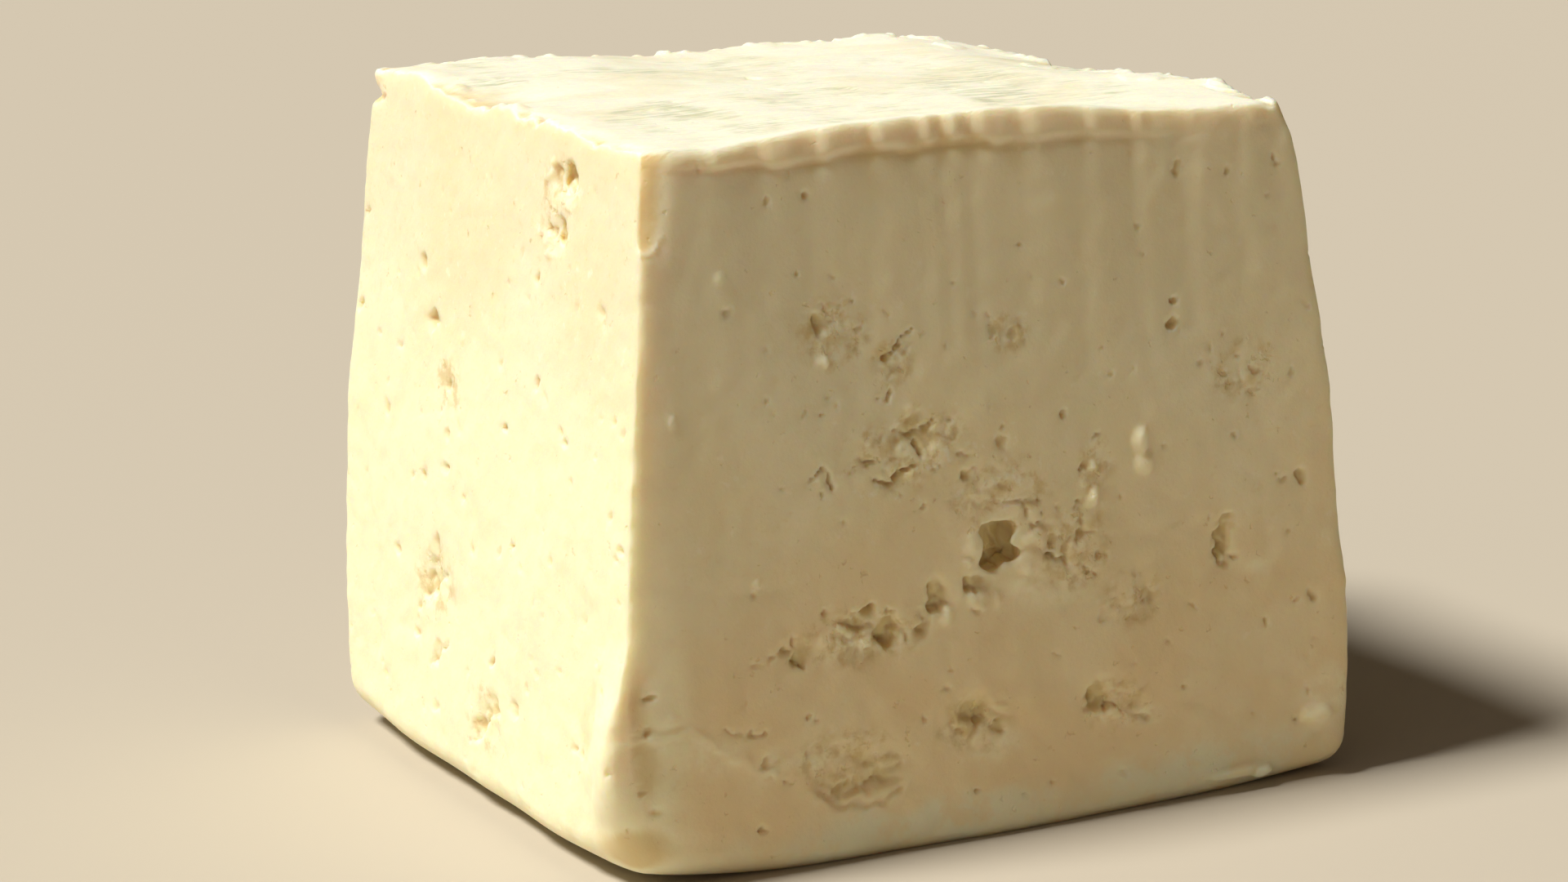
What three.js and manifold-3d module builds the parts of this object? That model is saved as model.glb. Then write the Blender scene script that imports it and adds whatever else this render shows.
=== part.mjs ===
// A block of firm tofu, as it comes out of its pressing box: four leaning, slightly swollen sides, a top lip
// scalloped by the folds of the pressing cloth, and the holes, cracks and pits that coarse curd leaves.
// Units are millimetres. +Z is up, X runs along the broad side, and the block rests flat on Z = 0.
import * as THREE from "three";
import { mergeVertices } from "three/addons/utils/BufferGeometryUtils.js";
import Module from "manifold-3d";

// Driving dimensions
const WIDTH = 124; // along X, at the base
const DEPTH = 105; // along Y, at the base
const HEIGHT = 106; // from the flat underside to the top
const LEAN = { left: 8.2, right: 10, front: 5.2, back: 4.3 }; // how far each side leans in by the top
const SWELL = 1.2; // how far the upright edges belly out at mid height
const FACE_SWELL = 0.5; // the extra belly in the middle of a side, as a share of SWELL
const EDGE_RADIUS = { top: 2.6, base: 4.4 };
const BASE_CUT = 1.2; // the soft underside squashed away where the block rests
// How far the rim of the underside rises clear of the table, at the two ends and further at the corners
const BASE_LIFT = { left: 3.4, right: 0.9, corners: 2.1 };
// How the top has worn: towards its right edge, towards its back right corner, in a dip in its back edge and
// in a bite out of its right one. A pair says where wear starts and where it is full, across from -1 on the
// left to 1 on the right, or back from -1 at the front to 1 at the back.
const END_WEAR = { deep: 1.6, across: [-1, 1] };
const CORNER_WEAR = { deep: 2.1, across: [-0.66, 1.92], back: [-0.31, 0.49] };
const DIP = { deep: 1.3, at: -0.05, wide: 0.39, back: [0, 0.8] };
const BITE = { deep: 1.8, across: [0.6, 1], begins: [-0.4, -0.13], ends: [0.89, 1.43] };
const GRID = { x: 22, y: 18, z: 20 }; // facets along each axis
const GRID_CROWDING = 1.35; // above 1 the facets are finer near the edges
const UNDULATION = { deep: 0.35, wavelength: 34 }; // the gentle unevenness of every side

// Flutes pressed by the folds of the cloth into the upper part of the front and back sides
const FLUTE = { first: 16, last: 106, pitch: 8.5, jitter: 0.9, wide: 7.4, tall: 44, deep: 0.6, sides: 8 };
const FLUTE_WIDTHS = [0.8, 1.2]; // each one's width, as a share of wide
const FLUTE_SEED = 7;
const FLUTE_STANDOFF = 0.35; // how far a gouge's axis stands off the skin, as a share of its depth

// Holes and hollows in the curd. along: along X from the left side, or along Y from the front one; up: above
// the table; wide, tall, deep: the size of the mouth and the depth; turn: degrees, from along towards up.
const HOLLOWS = [
  // front side: the deep hole in the middle and the chain of hollows that runs down to the left of it
  { side: "front", along: 62.4, up: 44.0, wide: 6.6, tall: 8.2, deep: 6.0, turn: 0 },
  { side: "front", along: 67.5, up: 48.3, wide: 6.5, tall: 2.6, deep: 2.2, turn: 20 },
  { side: "front", along: 69.5, up: 43.0, wide: 8.5, tall: 1.8, deep: 2.0, turn: 8 },
  { side: "front", along: 75.0, up: 39.5, wide: 10.5, tall: 1.7, deep: 1.8, turn: -28 },
  { side: "front", along: 51.4, up: 38.8, wide: 5.2, tall: 6.6, deep: 4.6, turn: 25 },
  { side: "front", along: 56.6, up: 38.2, wide: 8.0, tall: 2.2, deep: 2.4, turn: 12 },
  { side: "front", along: 42.6, up: 34.2, wide: 7.4, tall: 5.4, deep: 3.8, turn: -18 },
  { side: "front", along: 36.5, up: 37.6, wide: 8.0, tall: 1.8, deep: 1.8, turn: -8 },
  { side: "front", along: 28.8, up: 32.4, wide: 8.2, tall: 4.4, deep: 2.2, turn: -20 },
  // front side: the looser patch above it
  { side: "front", along: 48.0, up: 62.8, wide: 8.6, tall: 4.6, deep: 2.2, turn: 24 },
  { side: "front", along: 41.6, up: 59.2, wide: 5.4, tall: 1.6, deep: 1.6, turn: -22 },
  { side: "front", along: 44.2, up: 56.2, wide: 5.6, tall: 2.0, deep: 1.9, turn: 10 },
  { side: "front", along: 32.8, up: 57.0, wide: 4.6, tall: 4.2, deep: 1.3, turn: 0 },
  { side: "front", along: 34.0, up: 79.8, wide: 3.6, tall: 4.4, deep: 1.9, turn: -10 },
  { side: "front", along: 46.0, up: 75.0, wide: 6.6, tall: 1.7, deep: 1.6, turn: 48 },
  { side: "front", along: 93.4, up: 75.6, wide: 3.2, tall: 2.8, deep: 2.0, turn: 0 },
  // front side: the upright slit on the right and the row of hollows near the foot
  { side: "front", along: 99.9, up: 38.8, wide: 3.6, tall: 8.2, deep: 3.2, turn: -8 },
  { side: "front", along: 114.3, up: 47.4, wide: 3.4, tall: 3.0, deep: 1.8, turn: -25 },
  { side: "front", along: 56.6, up: 19.4, wide: 11.0, tall: 4.8, deep: 3.2, turn: -34 },
  { side: "front", along: 78.6, up: 19.4, wide: 6.4, tall: 5.4, deep: 2.6, turn: 20 },
  { side: "front", along: 38.5, up: 13.2, wide: 19.0, tall: 9.5, deep: 1.7, turn: 4 },
  { side: "front", along: 9.6, up: 96.5, wide: 5.4, tall: 11.0, deep: 1.6, turn: -12 },
  // left side
  { side: "left", along: 29.6, up: 99.0, wide: 8.6, tall: 5.6, deep: 4.4, turn: 8 },
  { side: "left", along: 31.8, up: 90.4, wide: 7.2, tall: 5.8, deep: 4.0, turn: -6 },
  { side: "left", along: 68.8, up: 31.6, wide: 16.0, tall: 5.6, deep: 2.8, turn: -42 },
  { side: "left", along: 66.4, up: 21.0, wide: 8.8, tall: 3.2, deep: 1.8, turn: -34 },
  { side: "left", along: 49.0, up: 14.2, wide: 13.0, tall: 5.0, deep: 2.6, turn: -38 },
  { side: "left", along: 72.2, up: 71.2, wide: 4.4, tall: 2.8, deep: 1.9, turn: -16 },
  { side: "left", along: 63.6, up: 63.8, wide: 7.6, tall: 1.7, deep: 1.6, turn: -34 },
  { side: "left", along: 65.0, up: 49.8, wide: 3.6, tall: 2.2, deep: 1.5, turn: 0 },
  { side: "left", along: 77.0, up: 79.5, wide: 2.8, tall: 3.4, deep: 1.4, turn: 0 },
  { side: "left", along: 103.0, up: 83.2, wide: 5.0, tall: 1.8, deep: 2.4, turn: -6 },
  { side: "left", along: 100.4, up: 101.6, wide: 6.0, tall: 2.4, deep: 2.4, turn: 0 },
  // right and back sides, which were pressed in the same box
  { side: "right", along: 37.0, up: 46.0, wide: 7.4, tall: 6.2, deep: 4.4, turn: 15 },
  { side: "right", along: 45.5, up: 41.0, wide: 9.0, tall: 2.4, deep: 2.2, turn: -24 },
  { side: "right", along: 72.0, up: 24.5, wide: 10.0, tall: 4.2, deep: 2.6, turn: -30 },
  { side: "right", along: 70.0, up: 68.0, wide: 4.4, tall: 5.0, deep: 2.2, turn: 0 },
  { side: "back", along: 74.0, up: 50.0, wide: 7.0, tall: 7.4, deep: 4.8, turn: 0 },
  { side: "back", along: 82.5, up: 44.5, wide: 9.4, tall: 2.4, deep: 2.2, turn: -24 },
  { side: "back", along: 36.0, up: 34.0, wide: 8.4, tall: 5.2, deep: 3.2, turn: -18 },
  { side: "back", along: 50.0, up: 72.0, wide: 6.6, tall: 3.4, deep: 2.0, turn: 30 },
  { side: "back", along: 92.0, up: 18.0, wide: 10.0, tall: 4.6, deep: 2.6, turn: -30 },
];

// Curds that stand proud of a side, in the same measures; deep is how far they stand out.
const CURDS = [
  { side: "front", along: 86.0, up: 55.2, wide: 3.4, tall: 7.0, deep: 1.1, turn: -6 },
  { side: "front", along: 58.0, up: 44.8, wide: 3.6, tall: 5.2, deep: 0.8, turn: 10 },
  { side: "front", along: 67.4, up: 45.0, wide: 4.0, tall: 3.2, deep: 0.9, turn: 0 },
  { side: "front", along: 35.5, up: 33.6, wide: 8.6, tall: 4.0, deep: 0.9, turn: 0 },
  { side: "front", along: 57.6, up: 35.6, wide: 9.6, tall: 3.0, deep: 0.9, turn: 8 },
  { side: "front", along: 116.4, up: 10.2, wide: 7.4, tall: 4.4, deep: 1.4, turn: -8 },
  { side: "left", along: 26.4, up: 96.2, wide: 5.0, tall: 2.6, deep: 0.9, turn: 0 },
  { side: "right", along: 41.5, up: 52.0, wide: 5.0, tall: 3.2, deep: 0.9, turn: 0 },
  { side: "back", along: 69.0, up: 55.5, wide: 4.0, tall: 5.0, deep: 0.9, turn: 10 },
];
const LUMPINESS = { share: 0.2, wavelength: 1.7 }; // how far a hollow or curd departs from a plain ellipsoid
const FINE = { deep: 4, mouth: 16 }; // a hollow past this depth or mouth area (mm2) gets more facets
// Strewn over every side and kept off its edges: stretch is width over height, and turn the most they turn
const SMALL_PITS = { perSide: 8, across: [1.5, 2.8], stretch: [1, 1.8], deep: [0.7, 1.1], turn: 40, margin: 9 };
const SMALL_PITS_SEED = 20;
const SAME_POINT = 1e-4; // points nearer than this are one point

// 1 where along runs anticlockwise round the block, seen from above, and -1 where it runs clockwise
const HAND = { front: 1, right: 1, left: -1, back: -1 };

const smooth = (from, to, x) => THREE.MathUtils.smoothstep(x, from, to);

// A geometry with its positions alone, and its shared points merged
function merged(geometry) {
  geometry.deleteAttribute("normal");
  geometry.deleteAttribute("uv");
  return mergeVertices(geometry, SAME_POINT);
}

// A small repeatable random generator, from 0 to 1
function seededRandom(seed) {
  let state = seed;
  return () => {
    state = (Math.imul(state, 1664525) + 1013904223) >>> 0;
    return state / 2 ** 32;
  };
}

// A slow wave through space, between -1 and 1, for uneven sides and lumpy hollows
function wave(point, wavelength, phase) {
  const k = (2 * Math.PI) / wavelength;
  const first = Math.sin(k * (point.x + 0.6 * point.z) + phase);
  const second = Math.sin(k * (1.3 * point.y - 0.5 * point.x) + 2.1 * phase);
  const third = Math.sin(k * (0.9 * point.z + 0.7 * point.y) - 1.7 * phase);
  return (first + second + third) / 3;
}

// Bends the straight-sided block at a point: its sides lean and swell, its top wears, its base's rim lifts.
function press(point) {
  const across = point.x / (WIDTH / 2);
  const back = point.y / (DEPTH / 2);
  const rise = point.z / HEIGHT;
  const waist = 4 * rise * (1 - rise);
  const uneven = UNDULATION.deep * wave(point, UNDULATION.wavelength, 1);
  const leanX = (LEAN.left * (1 - across) - LEAN.right * (1 + across)) / 2;
  const leanY = (LEAN.front * (1 - back) - LEAN.back * (1 + back)) / 2;
  const swellX = SWELL * waist * (1 + FACE_SWELL * (1 - back * back)) + uneven;
  const swellY = SWELL * waist * (1 + FACE_SWELL * (1 - across * across)) + uneven;
  const wornEnd = END_WEAR.deep * smooth(...END_WEAR.across, across);
  const cornerShare = smooth(...CORNER_WEAR.across, across) * smooth(...CORNER_WEAR.back, back);
  const dip = DIP.deep * Math.exp(-(((across - DIP.at) / DIP.wide) ** 2)) * smooth(...DIP.back, back);
  const bitten = smooth(...BITE.begins, back) - smooth(...BITE.ends, back);
  const bite = BITE.deep * bitten * smooth(...BITE.across, across);
  const wear = wornEnd + CORNER_WEAR.deep * cornerShare + dip + bite;
  const end = across < 0 ? BASE_LIFT.left : BASE_LIFT.right;
  const rim = end * across ** 4 + BASE_LIFT.corners * across ** 2 * back ** 4;
  return new THREE.Vector3(
    point.x + rise * leanX + across * swellX,
    point.y + rise * leanY + back * swellY,
    point.z + (rim - BASE_CUT) * (1 - rise) ** 2 + rise ** 4 * (uneven - wear),
  );
}

// The block's skin: a box whose grid points are rolled over its rounded edges, then pressed into shape
function blockGeometry() {
  const geometry = merged(new THREE.BoxGeometry(2, 2, 2, GRID.x, GRID.y, GRID.z));
  const positions = geometry.getAttribute("position");
  const crowd = (c) => Math.sign(c) * (1 - (1 - Math.abs(c)) ** GRID_CROWDING);
  const half = new THREE.Vector3(WIDTH / 2, DEPTH / 2, HEIGHT / 2);
  for (let i = 0; i < positions.count; i++) {
    const corner = new THREE.Vector3().fromBufferAttribute(positions, i);
    const flat = new THREE.Vector3(crowd(corner.x), crowd(corner.y), crowd(corner.z)).multiply(half);
    const radius = THREE.MathUtils.lerp(EDGE_RADIUS.base, EDGE_RADIUS.top, smooth(-half.z, 0, flat.z));
    const core = half.clone().subScalar(radius);
    const inside = flat.clone().clamp(core.clone().negate(), core);
    const rounded = flat.sub(inside).setLength(radius).add(inside);
    rounded.z += half.z;
    const pressed = press(rounded);
    positions.setXYZ(i, pressed.x, pressed.y, pressed.z);
  }
  return geometry;
}

// The point of a side's skin at a distance along it and a height, with the directions along, up and out there
function placeOnSide(side, along, up) {
  const rise = up / HEIGHT;
  const width = WIDTH - rise * (LEAN.left + LEAN.right);
  const depth = DEPTH - rise * (LEAN.front + LEAN.back);
  const skin = {
    front: (a, z) => new THREE.Vector3(((a - rise * LEAN.left) / width - 0.5) * WIDTH, -DEPTH / 2, z),
    left: (a, z) => new THREE.Vector3(-WIDTH / 2, ((a - rise * LEAN.front) / depth - 0.5) * DEPTH, z),
    right: (a, z) => new THREE.Vector3(WIDTH / 2, ((a - rise * LEAN.front) / depth - 0.5) * DEPTH, z),
    back: (a, z) => new THREE.Vector3(((a - rise * LEAN.left) / width - 0.5) * WIDTH, DEPTH / 2, z),
  }[side];
  const point = press(skin(along, up));
  const rightward = press(skin(along + 1, up)).sub(point);
  const upward = press(skin(along, up + 1)).sub(point).normalize();
  const outward = new THREE.Vector3().crossVectors(rightward, upward).setLength(HAND[side]);
  const level = new THREE.Vector3().crossVectors(upward, outward).normalize();
  return new THREE.Matrix4().makeBasis(level, upward, outward).setPosition(point);
}

// A lumpy ellipsoid, its middle on the side's skin, so that half of it lies in the block
function lump({ side, along, up, wide, tall, deep, turn }, phase) {
  const detail = Number(deep > FINE.deep) + Number(wide * tall > FINE.mouth);
  const geometry = merged(new THREE.IcosahedronGeometry(1, detail));
  const positions = geometry.getAttribute("position");
  for (let i = 0; i < positions.count; i++) {
    const spoke = new THREE.Vector3().fromBufferAttribute(positions, i);
    spoke.multiplyScalar(1 + LUMPINESS.share * wave(spoke, LUMPINESS.wavelength, phase));
    positions.setXYZ(i, spoke.x, spoke.y, spoke.z);
  }
  geometry.scale(wide / 2, tall / 2, deep);
  geometry.rotateZ(HAND[side] * THREE.MathUtils.degToRad(turn));
  return geometry.applyMatrix4(placeOnSide(side, along, up));
}

// A long upright gouge that is deepest at the top edge and runs out halfway down the side
function flute(side, along, wide) {
  const geometry = new THREE.ConeGeometry(wide / 2, FLUTE.tall, FLUTE.sides);
  geometry.rotateX(Math.PI);
  geometry.translate(0, -FLUTE.tall / 2, 0);
  geometry.scale(1, 1, (2 * FLUTE.deep) / FLUTE.wide);
  geometry.translate(0, 2 * EDGE_RADIUS.top, FLUTE_STANDOFF * FLUTE.deep);
  return merged(geometry).applyMatrix4(placeOnSide(side, along, HEIGHT - EDGE_RADIUS.top));
}

const wasm = await Module();
wasm.setup();

function toSolid(geometry) {
  return new wasm.Manifold(
    new wasm.Mesh({
      numProp: 3,
      vertProperties: new Float32Array(geometry.getAttribute("position").array),
      triVerts: new Uint32Array(geometry.index.array),
    }),
  );
}

function toGeometry(solid) {
  const mesh = solid.getMesh();
  const geometry = new THREE.BufferGeometry();
  geometry.setAttribute("position", new THREE.BufferAttribute(mesh.vertProperties, 3));
  geometry.setIndex(new THREE.BufferAttribute(mesh.triVerts, 1));
  return geometry;
}

// The pits too small to name, scattered over the four sides and kept off their edges
function smallPits() {
  const random = seededRandom(SMALL_PITS_SEED);
  const between = (low, high) => low + (high - low) * random();
  const pits = [];
  for (const side of ["front", "left", "right", "back"]) {
    const reach = side === "front" || side === "back" ? WIDTH : DEPTH;
    for (let i = 0; i < SMALL_PITS.perSide; i++) {
      const across = between(...SMALL_PITS.across);
      pits.push({
        side,
        along: between(LEAN.left + SMALL_PITS.margin, reach - LEAN.right - SMALL_PITS.margin),
        up: between(SMALL_PITS.margin, HEIGHT - 2 * SMALL_PITS.margin),
        wide: across * between(...SMALL_PITS.stretch),
        tall: across,
        deep: between(...SMALL_PITS.deep),
        turn: between(-SMALL_PITS.turn, SMALL_PITS.turn),
      });
    }
  }
  return pits;
}

function carve() {
  const random = seededRandom(FLUTE_SEED);
  let block = toSolid(blockGeometry());
  for (const side of ["front", "back"]) {
    for (let along = FLUTE.first; along < FLUTE.last; along += FLUTE.pitch) {
      const shift = FLUTE.jitter * (2 * random() - 1);
      const wide = FLUTE.wide * THREE.MathUtils.lerp(...FLUTE_WIDTHS, random());
      block = block.subtract(toSolid(flute(side, along + shift, wide)));
    }
  }
  CURDS.forEach((curd, i) => {
    block = block.add(toSolid(lump(curd, i)));
  });
  HOLLOWS.forEach((hollow, i) => {
    block = block.subtract(toSolid(lump(hollow, i)));
  });
  smallPits().forEach((pit, i) => {
    block = block.subtract(toSolid(lump(pit, i)));
  });
  const table = new THREE.BoxGeometry(2 * WIDTH, 2 * DEPTH, HEIGHT).translate(0, 0, -HEIGHT / 2);
  return block.subtract(toSolid(merged(table)));
}

// Centres the block over the origin, its underside on Z = 0
function standUpright(geometry) {
  geometry.computeBoundingBox();
  const middle = geometry.boundingBox.getCenter(new THREE.Vector3());
  return geometry.translate(-middle.x, -middle.y, -geometry.boundingBox.min.z);
}

const curd = new THREE.MeshStandardMaterial({ color: 0xf1e3bd, roughness: 0.55, metalness: 0 });
const tofuBlock = new THREE.Mesh(standUpright(toGeometry(carve())), curd);
tofuBlock.name = "tofu_block";

const part = new THREE.Group();
part.name = "tofu";
part.add(tofuBlock);

export default part;
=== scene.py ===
import math

import bpy
import numpy as np
from mathutils import Matrix, Vector


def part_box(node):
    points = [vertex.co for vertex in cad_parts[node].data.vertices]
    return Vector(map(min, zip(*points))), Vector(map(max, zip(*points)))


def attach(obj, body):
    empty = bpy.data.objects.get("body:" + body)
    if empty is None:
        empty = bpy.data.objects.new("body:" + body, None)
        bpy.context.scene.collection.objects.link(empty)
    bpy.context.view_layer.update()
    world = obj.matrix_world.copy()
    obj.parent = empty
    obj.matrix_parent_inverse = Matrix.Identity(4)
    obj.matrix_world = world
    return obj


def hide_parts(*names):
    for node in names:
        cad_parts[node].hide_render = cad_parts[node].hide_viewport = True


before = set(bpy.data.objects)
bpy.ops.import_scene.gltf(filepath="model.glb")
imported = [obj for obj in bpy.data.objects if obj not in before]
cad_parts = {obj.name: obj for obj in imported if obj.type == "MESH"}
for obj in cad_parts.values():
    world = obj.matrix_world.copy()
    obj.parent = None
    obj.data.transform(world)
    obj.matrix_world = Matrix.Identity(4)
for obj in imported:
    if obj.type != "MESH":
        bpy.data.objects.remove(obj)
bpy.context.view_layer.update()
MM = 0.001
bpy.ops.object.select_all(action="DESELECT")


# The camera. A long lens a little above the block, turned to take in its bright end, its broad side and a
# sliver of its top.
LENS = 107.9  # on a sensor 36 mm wide
CAMERA_PLACE = Vector((-329.3, -624.3, 218.4)) * MM
CAMERA_AZIMUTH = math.radians(-27.19)
CAMERA_ELEVATION = math.radians(13.49)
CAMERA_ROLL = math.radians(-1.02)

level = Vector((math.cos(CAMERA_AZIMUTH), math.sin(CAMERA_AZIMUTH), 0))
back = Vector((
    math.sin(CAMERA_AZIMUTH) * math.cos(CAMERA_ELEVATION),
    -math.cos(CAMERA_AZIMUTH) * math.cos(CAMERA_ELEVATION),
    math.sin(CAMERA_ELEVATION),
))
upright = back.cross(level)
picture_right = math.cos(CAMERA_ROLL) * level + math.sin(CAMERA_ROLL) * upright
picture_up = math.cos(CAMERA_ROLL) * upright - math.sin(CAMERA_ROLL) * level
bpy.ops.object.camera_add()
camera = bpy.context.object
camera.name = "camera"
camera.data.lens = LENS
camera.data.sensor_width = 36
camera.data.clip_start = 0.05
camera.data.clip_end = 50
turned = Matrix((picture_right, picture_up, back)).transposed().to_4x4()
camera.matrix_world = Matrix.Translation(CAMERA_PLACE) @ turned
bpy.context.scene.camera = camera


# The studio. A pale floor, a broad key light high on the left that leaves the broad side in shade, a soft
# fill from the left, and a weak warm light from everywhere else.
FLOOR_RADIUS = 4.0
FLOOR_COLOUR = (0.50, 0.45, 0.37, 1)
KEY = {"from": (-0.53, 0.08, 0.84), "strength": 4.6, "colour": (1.0, 0.97, 0.90), "softness": 16}
FILL = {"from": (-0.80, -0.50, 0.30), "strength": 0.315, "colour": (1.0, 0.80, 0.61), "softness": 60}
AIR_COLOUR = (1.0, 0.80, 0.61, 1)
AIR_STRENGTH = 0.078

bpy.ops.mesh.primitive_circle_add(vertices=96, radius=FLOOR_RADIUS, fill_type="NGON")
floor = bpy.context.object
floor.name = "floor"
paint = bpy.data.materials.new("pale floor")
paint.use_nodes = True
paint_shader = paint.node_tree.nodes["Principled BSDF"]
paint_shader.inputs["Base Color"].default_value = FLOOR_COLOUR
paint_shader.inputs["Roughness"].default_value = 0.9
floor.data.materials.append(paint)

for name, light in (("key light", KEY), ("fill light", FILL)):
    bpy.ops.object.light_add(type="SUN")
    sun = bpy.context.object
    sun.name = name
    sun.data.energy = light["strength"]
    sun.data.color = light["colour"]
    sun.data.angle = math.radians(light["softness"])
    sun.rotation_mode = "QUATERNION"
    sun.rotation_quaternion = Vector(light["from"]).to_track_quat("Z", "Y")

world = bpy.data.worlds.new("air")
bpy.context.scene.world = world
world.use_nodes = True
world.node_tree.nodes["Background"].inputs["Color"].default_value = AIR_COLOUR
world.node_tree.nodes["Background"].inputs["Strength"].default_value = AIR_STRENGTH
bpy.context.scene.view_settings.view_transform = "Standard"


# The block. Firm soy curd, ladled into a cloth-lined box and pressed: four leaning, slightly swollen sides, a
# top lip scalloped by the cloth's folds, and the holes, cracks and pits that coarse curd leaves.
# All its sizes are in mm. It is carved while its sides are still straight, and pressed into shape last.
WIDTH, DEPTH, HEIGHT = 124, 105, 106
LEAN = {"left": 8.2, "right": 10, "front": 5.2, "back": 4.3}
SWELL, FACE_SWELL = 1.2, 0.5
TOP_RADIUS, BASE_RADIUS = 1.0, 4.4
ROUNDER_BELOW = 34  # the upright edges round off towards the foot
BASE_CUT = 1.2
BASE_LIFT = {"left": 3.4, "right": 0.9, "corners": 2.1}
# The top's wear: each pair says where it starts and where it is full, from -1 to 1 across or front to back
END_WEAR = {"deep": 1.6, "across": (-1, 1)}
CORNER_WEAR = {"deep": 2.1, "across": (-0.66, 1.92), "back": (-0.31, 0.49)}
DIP = {"deep": 1.3, "at": -0.05, "wide": 0.39, "back": (0, 0.8)}
BITE = {"deep": 1.8, "across": (0.6, 1), "begins": (-0.4, -0.13), "ends": (0.89, 1.43)}
UNEVEN, UNEVEN_WAVE = 0.35, 34
CUTS = 80  # across each side, before the fine surface is made
SKIN_VOXEL = 0.45
AIR_VOXEL = 0.45
MOST_TRIANGLES = 196_000
rng = np.random.default_rng(11)


def smooth(start, stop, value):
    share = np.clip((value - start) / (stop - start), 0, 1)
    return share * share * (3 - 2 * share)


def wave(x, y, z, length, phase):
    k = 2 * np.pi / length
    first = np.sin(k * (x + 0.6 * z) + phase)
    second = np.sin(k * (1.3 * y - 0.5 * x) + 2.1 * phase)
    return (first + second + np.sin(k * (0.9 * z + 0.7 * y) - 1.7 * phase)) / 3


def press(points):
    """The straight block's points, once its sides lean and swell, its top is worn and its foot has lifted."""
    x, y, z = points.T
    across, back, rise = x / (WIDTH / 2), y / (DEPTH / 2), z / HEIGHT
    waist = 4 * rise * (1 - rise)
    uneven = UNEVEN * wave(x, y, z, UNEVEN_WAVE, 1)
    lean_x = (LEAN["left"] * (1 - across) - LEAN["right"] * (1 + across)) / 2
    lean_y = (LEAN["front"] * (1 - back) - LEAN["back"] * (1 + back)) / 2
    swell_x = SWELL * waist * (1 + FACE_SWELL * (1 - back * back)) + uneven
    swell_y = SWELL * waist * (1 + FACE_SWELL * (1 - across * across)) + uneven
    corner = CORNER_WEAR["deep"] * smooth(*CORNER_WEAR["across"], across) * smooth(*CORNER_WEAR["back"], back)
    dip = DIP["deep"] * np.exp(-(((across - DIP["at"]) / DIP["wide"]) ** 2)) * smooth(*DIP["back"], back)
    bitten = smooth(*BITE["begins"], back) - smooth(*BITE["ends"], back)
    worn = END_WEAR["deep"] * smooth(*END_WEAR["across"], across) + corner + dip
    worn = worn + BITE["deep"] * bitten * smooth(*BITE["across"], across)
    end = np.where(across < 0, BASE_LIFT["left"], BASE_LIFT["right"])
    rim = end * across**4 + BASE_LIFT["corners"] * across**2 * back**4
    return np.stack([
        x + rise * lean_x + across * swell_x,
        y + rise * lean_y + back * swell_y,
        z + (rim - BASE_CUT) * (1 - rise) ** 2 + rise**4 * (uneven - worn),
    ], axis=1)


def unpress(points):
    """The way back: where pressed points lay on the straight block."""
    straight = points.copy()
    for _ in range(8):
        straight += points - press(straight)
    return straight


def depth_below_skin(points):
    """How deep straight-block points lie under the smooth skin; below zero they stand proud of it."""
    radius = BASE_RADIUS + (TOP_RADIUS - BASE_RADIUS) * smooth(0, ROUNDER_BELOW, points[:, 2])
    half = np.array([WIDTH, DEPTH, HEIGHT]) / 2
    over = np.abs(points - [0, 0, HEIGHT / 2]) - half + radius[:, None]
    outside = np.linalg.norm(np.maximum(over, 0), axis=1)
    return radius - outside - np.minimum(over.max(axis=1), 0)


def read_points(piece):
    flat = np.empty(3 * len(piece.data.vertices), np.float32)
    piece.data.vertices.foreach_get("co", flat)
    return flat.reshape(-1, 3).astype(float) / MM


def write_points(piece, points):
    piece.data.vertices.foreach_set("co", (points * MM).astype(np.float32).ravel())
    piece.data.update()


def apply_modifier(piece, kind, **settings):
    bpy.context.view_layer.objects.active = piece
    modifier = piece.modifiers.new(kind.lower(), kind)
    for name, value in settings.items():
        setattr(modifier, name, value)
    bpy.ops.object.modifier_apply(modifier=modifier.name)


# The straight block with its rounded edges
bpy.ops.mesh.primitive_cube_add(size=2)
block = bpy.context.object
block.name = "tofu"
bpy.ops.object.mode_set(mode="EDIT")
bpy.ops.mesh.subdivide(number_cuts=CUTS)
bpy.ops.object.mode_set(mode="OBJECT")
half = np.array([WIDTH, DEPTH, HEIGHT]) / 2
flat = read_points(block) * MM * half
radius = (BASE_RADIUS + (TOP_RADIUS - BASE_RADIUS) * smooth(0, ROUNDER_BELOW, flat[:, 2] + half[2]))[:, None]
core = np.clip(flat, radius - half, half - radius)
spoke = flat - core
write_points(block, core + spoke * radius / np.linalg.norm(spoke, axis=1, keepdims=True) + [0, 0, half[2]])

# Each side's middle at the foot, the directions along it and out of it, and its length
SIDES = {
    "front": ((0, -DEPTH / 2), (1, 0), (0, -1), WIDTH),
    "left": ((-WIDTH / 2, 0), (0, 1), (-1, 0), DEPTH),
    "right": ((WIDTH / 2, 0), (0, 1), (1, 0), DEPTH),
    "back": ((0, DEPTH / 2), (1, 0), (0, 1), WIDTH),
}


def side_frame(side):
    *pairs, reach = SIDES[side]
    middle, run, out = (np.array([*pair, 0.0]) for pair in pairs)
    return middle, run, out, reach


def on_side(side, along, up, depth):
    """A straight-block point that ends up that far along the finished side and above the table."""
    middle, run, out, reach = side_frame(side)
    a, z = along - reach / 2, float(up)
    for _ in range(6):
        point = press((middle + a * run + [0, 0, z])[None])[0]
        a += (along - reach / 2) - point @ run
        z += up - point[2]
    return middle + a * run + [0, 0, z] - depth * out


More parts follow.
